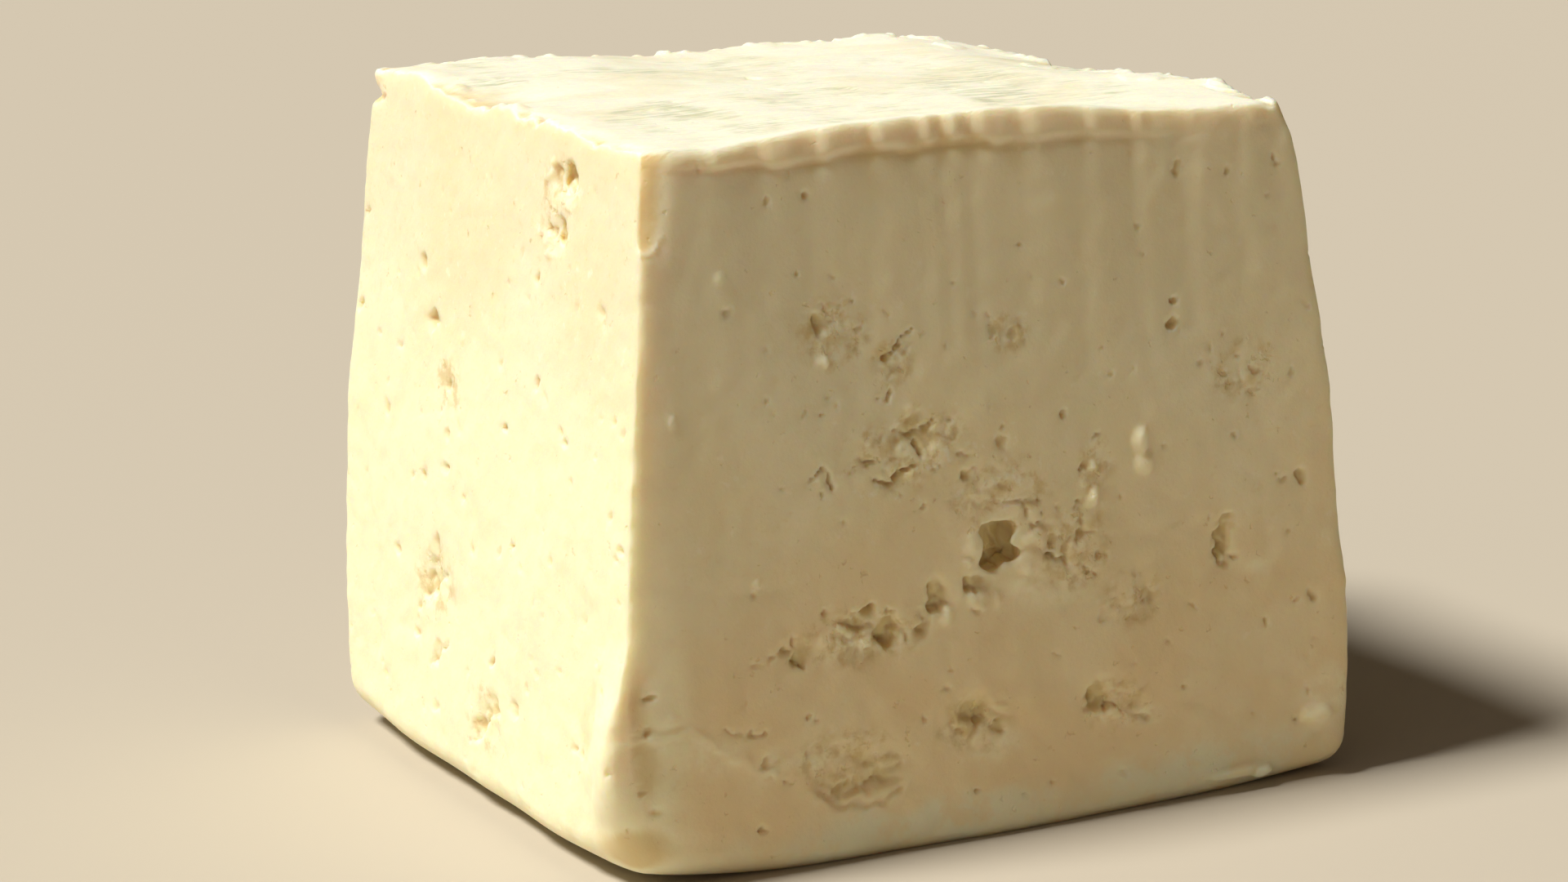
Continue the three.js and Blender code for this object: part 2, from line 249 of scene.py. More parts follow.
def side_axes(side, turn):
    """Rows: along the side and up it, both turned by that many degrees, and out of it."""
    _, run, out, _ = side_frame(side)
    upward = np.array([0, 0, 1.0])
    c, s = math.cos(math.radians(turn)), math.sin(math.radians(turn))
    return np.array([c * run + s * upward, c * upward - s * run, out])


# One ball, copied for every pocket of air and every curd
bpy.ops.mesh.primitive_ico_sphere_add(subdivisions=3, radius=MM)
ball = bpy.context.object
ball_points = read_points(ball)
ball_faces = np.array([list(face.vertices) for face in ball.data.polygons])
bpy.data.objects.remove(ball)
LUMPY = 0.16


def lump(centre, axes, radii):
    """A lumpy ball with those half sizes along the axes."""
    phase = rng.uniform(0, 6.28)
    x, y, z = ball_points.T
    swollen = ball_points * (1 + LUMPY * wave(x, y, z, 1.7, phase))[:, None]
    return centre + (swollen * radii) @ axes


def join_lumps(name, lumps):
    faces = [ball_faces + i * len(ball_points) for i in range(len(lumps))]
    mesh = bpy.data.meshes.new(name)
    mesh.from_pydata(np.concatenate(lumps) * MM, [], np.concatenate(faces).tolist())
    piece = bpy.data.objects.new(name, mesh)
    bpy.context.scene.collection.objects.link(piece)
    return piece


# Pockets of air that reach far in: side, along and up in mm, width, height and depth, and turn in degrees
HOLLOWS = [
    ("front", 48.9, 60.0, 1.1, 1.8, 1.7, 0),
    ("front", 99.5, 39.0, 1.3, 4.6, 2.6, 4),
    ("front", 57.6, 18.2, 2.6, 1.2, 1.9, -6),
    ("front", 77.2, 18.4, 1.4, 2.4, 1.8, -20),
    ("left", 28.4, 99.2, 3.6, 5.0, 3.0, 12),
    ("left", 31.6, 98.4, 4.0, 4.4, 2.6, 0),
    ("left", 29.6, 91.4, 3.4, 4.6, 2.8, 0),
    ("left", 32.4, 91.0, 4.0, 2.8, 2.2, 0),
    ("right", 37.0, 46.0, 5.4, 4.6, 4.0, 15),
    ("right", 45.5, 41.0, 6.0, 1.2, 2.0, -24),
    ("right", 72.0, 24.5, 5.6, 1.6, 2.2, -30),
    ("back", 74.0, 50.0, 5.2, 5.6, 4.4, 0),
    ("back", 36.0, 34.0, 4.6, 2.4, 2.8, -18),
    ("back", 92.0, 18.0, 5.0, 1.6, 2.2, -30),
]


def ragged_hollow(side, along, up, wide, tall, deep, turn):
    """A chain of overlapping pockets along the hollow's longer way, widest and deepest in its middle."""
    long, short = max(wide, tall), min(wide, tall)
    count = max(3, round(1.9 * long / short))
    axes = side_axes(side, turn if wide >= tall else turn + 90)
    middle = on_side(side, along, up, 0)
    pockets = []
    for i in range(count):
        place = 2 * (i + 0.5) / count - 1
        fullness = math.sqrt(1 - 0.75 * place * place)
        reach = short / 2 * fullness * rng.uniform(0.75, 1.15)
        drop = deep * fullness * rng.uniform(0.7, 1.0)
        shift = rng.uniform(-0.35, 0.35) * (short / 2)
        centre = middle + axes[0] * place * (long / 2 - reach * 0.6) + axes[1] * shift - axes[2] * 0.4 * drop
        pockets.append(lump(centre, axes, (reach * rng.uniform(0.9, 1.3), reach, 0.6 * drop)))
    return pockets


# The deep hole is given pocket by pocket: along, up and depth of each pocket or curd on the front, then its
# half sizes
DEEP_HOLE = [
    (61.1, 44.2, 1.4, 2.7, 3.6, 3.0),
    (59.8, 46.4, 0.8, 1.7, 1.3, 2.0),
    (62.8, 46.3, 1.0, 1.9, 1.4, 2.4),
    (60.1, 41.8, 0.8, 2.0, 1.6, 2.2),
    (63.5, 42.4, 1.8, 2.3, 1.4, 2.8),
    (63.8, 44.4, 2.6, 1.7, 2.6, 1.6),
]
DEEP_HOLE_CURDS = [
    (56.8, 44.1, 1.2, 2.2, 1.9, 1.5),
    (66.5, 44.7, 1.4, 2.2, 1.1, 1.7),
    (66.1, 39.6, 1.7, 3.0, 2.0, 1.9),
    (61.1, 44.8, 4.2, 1.2, 2.9, 1.3),
    (58.9, 42.6, 4.0, 0.9, 1.9, 0.9),
    (61.5, 48.4, 1.2, 1.6, 1.0, 1.2),
]

# Round curds that show inside the other holes: side, along, up, depth and half sizes
HOLE_CURDS = [
    ("left", 31.8, 98.2, 2.2, 2.3, 2.1, 1.7), ("left", 31.2, 95.4, 1.6, 1.6, 1.2, 1.2),
    ("left", 32.0, 91.4, 2.0, 2.0, 1.9, 1.5), ("left", 31.0, 88.6, 1.3, 1.8, 1.2, 1.1),
    ("back", 75.6, 51.2, 3.4, 1.6, 1.8, 1.4), ("right", 38.4, 45.2, 3.0, 1.8, 1.6, 1.4),
]
# Crumbs that stuck to the block as it was lifted out of the cloth: two long ones and a few dots on the
# broad side, and a thin flap at the foot. Side, along, up, half width, half height, how proud, and turn.
CRUMBS = [
    ("front", 86.4, 53.2, 1.5, 1.9, 1.2, 4), ("front", 85.8, 56.7, 1.4, 2.3, 1.4, -8),
    ("front", 10.2, 68.4, 0.7, 1.1, 0.6, 0), ("front", 18.6, 87.8, 1.1, 0.8, 0.7, 20),
    ("front", 22.4, 43.9, 0.7, 0.7, 0.5, 0), ("front", 77.5, 49.3, 0.9, 1.2, 0.8, 0),
    ("front", 77.6, 54.2, 1.0, 0.8, 0.7, 15), ("front", 34.1, 74.3, 0.8, 0.7, 0.6, 0),
    ("front", 75.9, 51.4, 0.7, 0.6, 0.5, 0), ("front", 102.6, 3.1, 5.4, 0.9, 0.9, -3),
    ("front", 107.0, 2.6, 2.0, 0.8, 1.1, 6), ("front", 116.4, 10.2, 2.4, 1.9, 0.9, -8),
    ("front", 47.6, 66.0, 0.8, 0.7, 0.5, 0),
    ("left", 60.8, 70.2, 0.6, 0.8, 0.6, 0), ("right", 44.0, 52.0, 1.4, 1.0, 0.9, 20),
    ("right", 66.0, 31.0, 0.9, 1.3, 0.8, 0), ("back", 62.0, 60.0, 1.5, 2.2, 1.1, 30),
    ("back", 30.0, 41.0, 1.0, 0.8, 0.7, 0),
]
# Lumps on the top's edges: from, to and how many, along each side
EDGE_LUMPS = {"left": (30, 74, 6), "back": (14, 112, 12), "right": (12, 96, 10)}

front_axes = side_axes("front", 0)
pockets = [lump(on_side("front", a, u, d), front_axes, (rx, rz, rd)) for a, u, d, rx, rz, rd in DEEP_HOLE]
curds = [lump(on_side("front", a, u, d), front_axes, (rx, rz, rd)) for a, u, d, rx, rz, rd in DEEP_HOLE_CURDS]
for hollow in HOLLOWS:
    pockets += ragged_hollow(*hollow)
for side, along, up, depth, half_along, half_up, deep in HOLE_CURDS:
    curds.append(lump(on_side(side, along, up, depth), side_axes(side, 0), (half_along, half_up, deep)))
for side, along, up, half_along, half_up, proud, turn in CRUMBS:
    curds.append(lump(on_side(side, along, up, 0.1), side_axes(side, turn), (half_along, half_up, proud)))
for side, (start, stop, count) in EDGE_LUMPS.items():
    middle, run, out, reach = side_frame(side)
    for i in range(count):
        along = start + (stop - start) * (i + rng.uniform(0.1, 0.9)) / count
        size = rng.uniform(0.5, 1.0)
        centre = middle + (along - middle @ run - reach / 2) * run
        centre = centre - rng.uniform(1.0, 3.0) * out + [0, 0, HEIGHT - 0.35 * size]
        curds.append(lump(centre, side_axes(side, 0), size * rng.uniform((1.2, 0.8, 1.2), (2.6, 1.0, 2.0))))

air = join_lumps("air", pockets)
apply_modifier(air, "REMESH", mode="VOXEL", voxel_size=AIR_VOXEL * MM)
apply_modifier(block, "BOOLEAN", operation="DIFFERENCE", solver="MANIFOLD", object=air)
bpy.data.objects.remove(air)
loose = join_lumps("curds", curds)
bpy.ops.object.select_all(action="DESELECT")
loose.select_set(True)
block.select_set(True)
bpy.context.view_layer.objects.active = block
bpy.ops.object.join()
apply_modifier(block, "REMESH", mode="VOXEL", voxel_size=SKIN_VOXEL * MM)


# Fine relief, in the same measures. A bowl's floor slopes up from its steep wall, which faces that many
# degrees from along towards up: along, up, half width, half height, depth, then turn and steep, which are
# 0 and 180 where they are left out
BOWLS = {
    "front": [
        (51.8, 38.2, 3.3, 4, 2.4, 0, 195), (57.6, 38.9, 3.6, 1.6, 1.3, 0, 270), (50.2, 38.8, 1.1, 2.8, 1.8),
        (48.8, 34.2, 1.2, 3.2, 0.9, -10, 180), (42.2, 34.4, 3.5, 2.9, 2.6, -20, 300),
        (40.2, 36.8, 1, 1.6, 1.6, 20, 90), (43.6, 36.4, 0.9, 1.4, 1.4, 0, 90),
        (36.8, 36.2, 2.4, 0.8, 1, -8, 270), (33.8, 37.6, 1.3, 1, 0.8, 20, 180),
        (29, 32.6, 3.4, 2.8, 1.2, -25, 225), (28.2, 34.6, 1.6, 0.9, 0.6, -35, 225),
        (48.3, 63, 4.2, 2.4, 0.9, 30, 150), (34.2, 80, 1.6, 2, 1.6, 10, 225),
        (71.5, 43.8, 1.8, 1, 1.1, 20, 225), (75.8, 44.2, 1.6, 1, 1.1, -10, 180),
        (79.8, 30.8, 1.8, 1.2, 0.5), (100.2, 39.2, 1.9, 4.2, 2.6, 8, 190),
        (101.2, 42.4, 1.7, 1.4, 1.2, -30, 180), (101.6, 36.8, 1.3, 0.7, 1.2, 0, 270),
        (114.2, 47.6, 1.6, 1.4, 1.5, -20, 200), (115.8, 29.1, 1.6, 0.9, 1, -30, 200),
        (92.8, 76.4, 0.9, 0.8, 1.6, 0, 200), (93, 73.4, 1.6, 1, 0.8, 10, 200), (112, 94.5, 1.6, 0.9, 0.8),
        (87, 88.2, 1, 1, 0.5), (106.2, 64.7, 1.4, 0.8, 0.7, 20, 180), (103.4, 67, 1, 0.7, 0.7, 10, 180),
        (113, 63.1, 0.9, 0.8, 0.8), (56, 20.6, 3.8, 2.8, 1.8, -34, 270), (53, 23.2, 1.1, 1, 0.8),
        (58.4, 19.4, 1.4, 1, 1, -20, 270), (61.6, 16.6, 2, 1, 0.6), (78.6, 19.2, 3.4, 3.4, 1.9, 0, 200),
        (77, 18.6, 1.3, 1.8, 1, -20, 200), (84.6, 16.8, 1.4, 1.2, 0.6, 0, 200),
        (38.6, 14.6, 10.2, 5.2, 1.5, 4, 255), (23.4, 17.6, 1, 1.3, 1.2, 0, 200), (22.4, 7, 1.1, 0.6, 0.9),
        (57, 7.4, 1.4, 0.6, 0.8, 15, 180), (6, 29.4, 0.7, 1.1, 0.8, -40, 180), (6.6, 24.4, 1.2, 1.2, 0.6),
        (7.2, 12.4, 1.2, 0.9, 0.4), (65.4, 75, 1.1, 1.1, 1.3), (61.3, 76.8, 1.2, 1.2, 0.9, 0, 225),
        (73, 62.2, 1.3, 0.9, 0.8, 20, 180), (62.6, 59.4, 1.1, 1.4, 1), (76.3, 54.6, 1.3, 0.8, 0.8, 20, 180),
        (56.2, 54.8, 1.1, 1.1, 1, 45, 180), (61.8, 52.8, 1.4, 0.9, 0.6, 0, 225), (44.6, 73.6, 1, 0.9, 1.3),
        (48.8, 60.1, 0.9, 1.2, 1.8),
    ],
    "left": [
        (30, 99.2, 4.2, 2.8, 0.8, 10, 180), (31.5, 90.8, 3.4, 2.8, 0.7),
        (72.4, 71, 2.1, 1.2, 1.5, -10, 180), (77, 79.5, 1.4, 1.3, 1), (15, 82.6, 1.3, 1, 0.8),
        (36.6, 83.5, 1, 0.8, 1), (34.3, 68.7, 1.2, 0.7, 1.1, 10, 180), (23.4, 62, 1.2, 0.6, 1.1),
        (25.5, 63.8, 1, 0.5, 0.6, 20, 180), (43.8, 60.4, 1.1, 0.6, 1.1),
        (65.4, 62.7, 1.4, 0.7, 1.2, -20, 180), (64.2, 54.8, 1.1, 0.9, 0.9, -30, 180), (65, 49.9, 1.7, 1, 1),
        (88, 54.2, 1.4, 1, 0.7, -30, 180), (69.2, 32.8, 5.4, 2.8, 1.1, -52, 235),
        (71.4, 29.4, 1.6, 1.6, 1, 0, 235), (67.4, 37.2, 1.6, 1.8, 1), (48.6, 15.4, 4.8, 1.9, 1.1, -50, 235),
        (51, 12.4, 1.3, 1.3, 0.8, 0, 235), (46.4, 18, 2.6, 1.6, 0.7, 0, 200),
        (66.6, 21, 2.6, 1.2, 0.8, -60, 235), (38.6, 18.8, 1.4, 1, 0.6, 0, 200),
        (17.5, 18.2, 1.2, 0.6, 0.6, -20, 200), (101, 68.6, 1.5, 0.8, 0.9),
        (82.6, 33.6, 1.4, 0.8, 0.6, -20, 180), (84, 65.2, 1.2, 0.6, 0.5),
    ],
    "right": [],
    "back": [],
}
# Small round pits: along, up, width, depth
PITS = {
    "front": [
        (33.2, 79.5, 0.8, 0.8), (35.2, 80.8, 0.9, 0.8), (34.6, 82, 0.8, 0.6), (35.9, 78.7, 0.7, 0.6),
        (32, 80.2, 0.7, 0.4), (39.2, 82.7, 1, 0.7), (30.8, 87.2, 1, 0.8), (19.6, 82.9, 0.9, 0.8),
        (33, 97.7, 1, 0.9), (30.2, 100.8, 0.8, 0.9), (55.3, 82.7, 0.8, 0.5), (45.2, 80.2, 0.8, 0.4),
        (74, 81.6, 0.9, 0.7), (12.3, 78, 0.6, 0.4), (66.6, 73.8, 0.8, 0.6), (60.8, 78, 0.9, 0.6),
        (58.8, 79, 0.8, 0.4), (63, 61.2, 0.8, 0.7), (78.2, 58.7, 1, 0.7), (79.3, 51.5, 0.9, 0.7),
        (49.4, 52, 1.1, 1), (45.6, 53.2, 0.8, 0.6), (30.7, 67.7, 1, 0.7), (33.7, 66.8, 0.9, 0.7),
        (24.8, 69.5, 0.9, 0.6), (35, 69, 0.9, 0.5), (36.8, 67.5, 0.8, 0.4), (73.5, 46.5, 1.1, 0.6),
        (74.9, 48.9, 1.2, 1.3), (71.8, 48.6, 1, 0.6), (68.4, 49.8, 0.9, 0.9), (84.3, 32.4, 0.9, 0.7),
        (86.4, 32.4, 1, 0.7), (90, 26.2, 0.9, 0.6), (107.2, 26, 1, 0.9), (106, 12, 1, 0.4),
        (113, 9.6, 0.8, 0.8), (105, 61.4, 0.9, 0.6), (98.4, 69, 1, 0.5), (100.6, 70.2, 0.9, 0.5),
        (81, 67.1, 1, 0.9), (84, 67.2, 0.8, 0.5), (96, 54.9, 0.7, 0.4), (111, 95.8, 0.9, 0.7),
        (109.5, 90.5, 0.9, 0.4), (87.6, 83.6, 1, 0.4), (22.5, 22.4, 1, 0.8), (29.6, 23.3, 1, 0.8),
        (25.8, 13.6, 1.1, 0.8), (29.4, 18.3, 0.8, 0.5), (1.8, 10, 0.7, 0.5), (65.1, 20.1, 0.8, 0.7),
        (45.8, 33.2, 1, 0.8), (66.8, 87.2, 0.9, 0.5), (69, 83.2, 1.2, 0.3), (80, 71.2, 1, 0.4),
        (53.2, 51.4, 0.9, 0.4), (90.6, 54.8, 1.4, 0.6), (49.8, 77.2, 0.8, 0.4),
    ],
    "left": [
        (67.6, 58.2, 0.8, 0.6), (57.2, 47, 1, 0.9), (72.3, 46.6, 1.1, 0.8), (76.9, 46.5, 1, 0.8),
        (4, 51.4, 1, 0.7), (4.8, 49.2, 0.8, 0.5), (45.6, 24.2, 1, 0.8), (33.8, 23.4, 0.9, 0.6),
        (30.4, 26.6, 1, 0.4), (13.6, 61.8, 0.9, 0.4), (8.6, 68.2, 1, 0.5), (5, 67.2, 0.9, 0.4),
        (72, 91.2, 1, 0.3), (86, 75.8, 0.9, 0.4), (90, 73.8, 0.9, 0.4), (53.4, 40.2, 0.8, 0.4),
        (44, 41.2, 1.2, 0.4), (36, 40.8, 1.1, 0.4), (3.6, 43.6, 1, 0.5), (88, 58.8, 0.9, 0.4),
        (75, 56.6, 0.9, 0.4), (31, 36.8, 0.8, 0.3), (8.6, 31.8, 1, 0.4), (22.6, 28.6, 1.2, 0.4),
        (19, 13.8, 0.9, 0.4), (67, 12.2, 1.2, 0.5), (87, 12, 1.2, 0.4), (88.6, 14.2, 1.2, 0.4),
        (93, 65.2, 1, 0.5), (21.6, 81.6, 0.7, 0.3), (46, 81.2, 1, 0.4), (39.6, 80, 0.8, 0.4),
        (60, 60.8, 0.8, 0.5), (55, 21.2, 1, 0.3), (75, 22.2, 1.2, 0.6), (78.6, 77.8, 0.8, 0.5),
    ],
    "right": [],
    "back": [],
}
# Cracks between curds and soft folds that stand proud: width, depth or height, and the points they pass
CRACKS = {
    "front": [
        (1, 0.7, [(26.9, 32.2), (27.6, 30.8), (29.2, 30.1), (30.6, 30.6)]),
        (1.2, 0.6, [(19.8, 32), (22, 31.6), (24.5, 32.4), (26.2, 33.4)]),
        (1.3, 1, [(45.2, 62.2), (47, 61.8), (48.6, 62.4), (50.4, 63.6), (51.6, 64.6)]),
        (1.3, 1.2, [(39.6, 60), (41.2, 59.4), (43.4, 58.6)]),
        (1.2, 1.6, [(41.5, 56), (43.2, 55.7), (44.4, 56.1), (45.2, 56.9), (47.6, 57.2)]),
        (1, 1.1, [(30.6, 56.8), (31.2, 58), (32.6, 58.8), (34, 58.6), (34.7, 57.4), (34.9, 55.8)]),
        (1, 0.8, [(33.1, 54.8), (33.4, 53.6), (34.6, 53.3)]),
        (1.2, 1.1, [(44.4, 73.4), (45.6, 74.8), (46.8, 75.8), (47.4, 77), (48.4, 77.4)]),
        (1, 1, [(42.9, 68.8), (42.9, 68), (43.8, 67.4), (44.7, 67.6), (45.1, 68.5)]),
        (0.9, 0.5, [(39, 77.8), (40.2, 78.2), (40.8, 79.2)]),
        (0.9, 0.7, [(55.6, 54.2), (56.6, 55.5), (58.4, 55.8)]), (0.9, 0.5, [(50.5, 57.6), (53, 56.6)]),
        (0.9, 0.6, [(54.5, 58), (58.2, 58.4)]), (0.8, 0.6, [(36.2, 51.4), (37.3, 50.6)]),
        (0.8, 0.5, [(26, 56.8), (27.8, 56.4)]),
        (1, 1.4, [(65.6, 42.4), (67.5, 42.8), (69.5, 42.2), (71, 41.8)]),
        (1.1, 0.9, [(70.5, 42), (72.6, 40.4), (75.6, 39), (77, 37.6), (78.6, 37.1), (80, 36.2)]),
        (0.9, 0.7, [(62.4, 49.8), (64.6, 50.2), (66, 49.2), (66.2, 48.2)]),
        (0.9, 0.8, [(66.2, 49.8), (68.2, 50.2), (69.3, 48.8), (68.6, 46.8), (66.6, 46.6)]),
        (0.9, 0.5, [(70.2, 27), (71.8, 25.4)]), (0.9, 0.4, [(84.2, 36.6), (85, 34.8)]),
        (1, 1.4, [(99.2, 41.2), (98.6, 39.2), (99, 37.2), (99.6, 35.2)]),
        (0.8, 0.5, [(97.2, 43.8), (98.8, 42.2)]), (0.9, 0.5, [(109.5, 49), (110.8, 47.8), (112.6, 47.2)]),
        (0.8, 0.4, [(112.6, 29), (114.8, 28.5)]), (0.8, 0.7, [(91, 17.8), (93.4, 18.1), (94.2, 18)]),
        (0.8, 0.4, [(93.4, 76.8), (95.6, 76.7)]),
        (1.8, 1.2, [(54.8, 17.4), (57, 17.9), (58.6, 18.6), (60.6, 17.4)]),
        (1, 1, [(78.4, 17.4), (80.6, 16.6), (82.6, 15.8), (83.4, 15.4)]),
        (0.9, 0.6, [(83.5, 15.6), (86.6, 14.4)]), (1, 0.6, [(15.5, 23), (18, 22.7), (22.4, 22.3)]),
        (0.8, 0.5, [(29.8, 23.4), (31.2, 22.4)]), (1, 1, [(36, 36.2), (38.6, 35.6), (40, 34.8)]),
        (3.4, 0.7, [(31.2, 11.6), (33.6, 9.4), (36.6, 8.4), (41, 8.4), (44.7, 10)]),
        (1.2, 0.5, [(46.6, 13.2), (48.6, 14.6)]), (0.9, 0.4, [(36.2, 19.8), (39.8, 19.4)]),
    ],
    "left": [
        (1, 0.9, [(60.6, 65.2), (62.6, 65), (63.8, 64.2)]), (1, 0.8, [(38.4, 44.8), (39, 43.2), (40.2, 42)]),
        (0.8, 1.0, [(99, 83.4), (101, 83), (105, 82.6)]),
        (2.6, 0.9, [(96, 101.6), (99, 101.2), (102.5, 101.4)]),
        (1.2, 0.9, [(63.2, 33.6), (66.5, 31.2), (70, 29.2), (74.4, 26.1)]),
        (1.1, 0.8, [(43.4, 17.4), (47, 14.8), (49, 11.8), (53, 10)]),
        (1, 0.7, [(62.4, 24.2), (63.6, 22), (66, 20.4), (70, 18.4)]),
        (1, 0.9, [(25, 98), (26.5, 98.2), (29.4, 96.8)]), (0.8, 0.3, [(43.5, 51.7), (46, 53.2)]),
    ],
    "right": [],
    "back": [],
}
RIDGES = {
    "front": [
        (2.6, 0.3, [(4, 22.8), (8, 23.6), (11.5, 23.4), (15, 20.6), (19, 17.8), (24, 15.4)]),
        (1.2, 0.5, [(6, 91.8), (8, 92.8), (10.4, 94.4)]),
        (2.4, 0.2, [(29, 11.6), (34, 8.2), (40, 7.8), (46, 10.2)]),
    ],
    "left": [],
    "right": [],
    "back": [],
}
# Curds that stand proud: along, up, half width, half height, height, turn
CURDS = {
    "front": [
        (57.6, 36.6, 2.2, 1.5, 0.6, 0), (61.6, 36.2, 1.2, 1.4, 0.5, 0), (52.2, 34.4, 1.7, 1.3, 0.7, 20),
        (66.8, 40.6, 3.6, 2.4, 0.5, -10), (67.4, 44.8, 2.4, 1.6, 0.5, 0), (57.8, 45.2, 2, 3, 0.3, 0),
        (64.4, 49, 1.7, 1.2, 0.4, 0), (67.6, 48.4, 1.5, 1.4, 0.4, 0), (56.6, 42.3, 0.9, 0.8, 0.7, 0),
        (32.6, 34.2, 1.6, 1.4, 0.6, 0), (35, 35, 1.5, 1.1, 0.7, 10), (36.8, 34.6, 1.3, 1, 0.6, 0),
        (38.6, 38, 1, 0.7, 0.5, 20), (39, 33.2, 1.6, 0.9, 0.5, -10), (34, 32.8, 1.5, 0.9, 0.4, 0),
        (37, 33, 1.2, 0.8, 0.5, 0), (41, 32.2, 1.4, 0.6, 0.4, -15), (51.6, 59.6, 1.3, 2.6, 0.5, 20),
        (52.8, 62.8, 1.6, 1.8, 0.4, 0), (41.6, 61.6, 1.6, 1, 0.4, 0), (46.8, 56.2, 0.9, 0.7, 0.5, 0),
        (32.8, 56.4, 1.1, 1.3, 0.3, 0), (80, 15.4, 3.8, 1.2, 0.5, -12), (77.7, 49.4, 1, 1.4, 0.7, 0),
        (77.8, 53.6, 1.1, 0.8, 0.6, 0), (34.2, 74.2, 0.8, 0.7, 0.5, 0), (22.3, 43.7, 0.6, 0.6, 0.4, 0),
        (117, 9.7, 3.6, 2.4, 0.5, -8), (74.6, 41.6, 1.8, 1.2, 0.4, 0), (73, 38.8, 1.6, 1.2, 0.3, 0),
        (9, 25.8, 1.6, 0.9, 0.3, 0), (66.5, 37.2, 2.4, 1.2, 0.3, 0),
    ],
    "left": [
        (27.4, 96.1, 2.9, 1.2, 0.6, 0), (33.6, 100.4, 1.3, 0.9, 0.6, 0), (35, 98.6, 1.4, 0.9, 0.6, 0),
        (32.6, 87.8, 2, 1, 0.5, 0), (35, 89.8, 1.4, 0.9, 0.4, 0), (99.5, 104.6, 2, 1.6, 0.6, 0),
        (66, 36.8, 1, 1.4, 0.5, 0),
    ],
    "right": [],
    "back": [],
}

# Where the curd has torn and is loose: along, up, half width, half height
TORN = {
    "front": [
        (47, 60, 13, 8), (62, 52, 12, 7), (38, 34, 14, 6), (74, 42, 9, 9), (57, 18, 9, 6), (81, 17, 8, 6),
        (36, 16, 13, 6), (104, 65, 8, 6), (36, 78, 8, 7), (45, 73, 5, 5), (64, 75, 5, 4), (78, 54, 4, 6),
        (84, 33, 7, 6),
    ],
    "left": [
        (31, 95, 8, 9), (68, 32, 10, 8), (49, 15, 8, 7), (65, 62, 7, 6),
    ],
    "right": [
        (40, 44, 12, 8), (71, 26, 10, 8), (70, 68, 7, 7),
    ],
    "back": [
        (77, 49, 12, 9), (37, 34, 11, 7), (50, 72, 8, 6), (92, 19, 9, 7),
    ],
}
# Where the curd is paler: along, up, half width, half height
PALER = {
    "front": [
        (68, 38, 9, 4.5), (38, 32.5, 8, 3), (105, 36.5, 6, 3), (87, 14, 6, 3), (13, 19, 8, 5),
        (28, 17.5, 8, 3.5), (48, 60.5, 5, 3), (105, 64, 4, 5), (97, 5, 30, 6), (48, 3, 46, 5.5),
        (78, 54, 3, 4), (60, 14, 8, 3.5), (118, 12, 7, 6),
    ],
    "left": [],
    "right": [
        (52, 4, 50, 6), (48, 38, 9, 5), (76, 20, 8, 5), (30, 70, 10, 7),
    ],
    "back": [
        (62, 4, 60, 6), (82, 44, 9, 5), (34, 28, 10, 5), (58, 66, 9, 6),
    ],
}
FOLDS = [17, 26, 34.5, 43.5, 51.5, 55.5, 60, 68.5, 78.5, 87, 96, 105.5]  # the cloth's folds, along the lip
LIP = {"foot": 101.9, "proud": 0.7, "fold": 0.55, "roll": 1.1, "flute": 0.27, "fades at": 58}
# Chips out of the top's edges and plates left on them, on the straight block: x, y, reach, height, softness
CHIPS = [
    (-57, 51, 4, -0.5, 0.5), (-50, 51, 1.4, -1.1, 0.6), (-42, 51, 6, 0.3, 0.5), (-22.5, 51, 3, -0.5, 0.4),
    (-5, 51, 1.0, 0.6, 0.3), (15, 51, 3.0, 0.3, 0.4), (30.5, 51, 1.7, -0.8, 0.3), (39.5, 51, 3.4, 0.35, 0.3),
    (45.5, 51, 1.2, -0.4, 0.3), (52, 51, 4.0, 0.45, 0.2), (61, 51, 3.2, -0.6, 0.4), (61, 33, 5.0, 0.35, 0.3),
    (61, 18, 5.6, -0.7, 0.2), (61, 0, 4.4, 0.35, 0.2), (61, -1, 1.0, 0.4, 0.3), (61, -27, 2.2, -0.8, 0.2),
    (61, -36, 3.2, 0.75, 0.15), (61, -43, 2.4, -0.35, 0.3), (48, 36, 3.0, 0.4, 0.2), (50, 8, 3.6, 0.35, 0.2),
    (52, -22, 4.0, 0.4, 0.2), (-61, 36, 6.0, 0.6, 1.0), (-61, 13, 13.0, -1.3, 1.0), (-61, -3, 2.6, 0.6, 0.8),
    (-61, 3, 1.8, 0.5, 0.8), (-61, -12, 2.4, -0.5, 0.8), (-59, 24, 2.0, 0.5, 0.8),
]
BOLDER = {"front": 1.0, "left": 1.35, "right": 1.15, "back": 1.15}  # how large a side's pits and bowls are
TORN_DEPTH = {"front": 1.0, "left": 0.35, "right": 0.9, "back": 0.9}  # how deep the creases of torn curd are
SWELLS = {"front": 1.0, "left": 1.0, "right": 1.0, "back": 0.35}  # light grazes the back and shows each one
SEEDS = {"front": 3, "left": 5, "right": 7, "back": 9}
SOFTER = 0.88  # the curd is so moist that every hollow has half healed
WIDEST_BROKEN = 2  # wider grooves run on without breaks


def jitter(column, row, seed):
    """A number from 0 to 1 for each cell of a lattice, always the same for the same seed."""
    value = np.sin(column * 127.1 + row * 311.7 + seed * 74.7) * 43758.5453
    return value - np.floor(value)


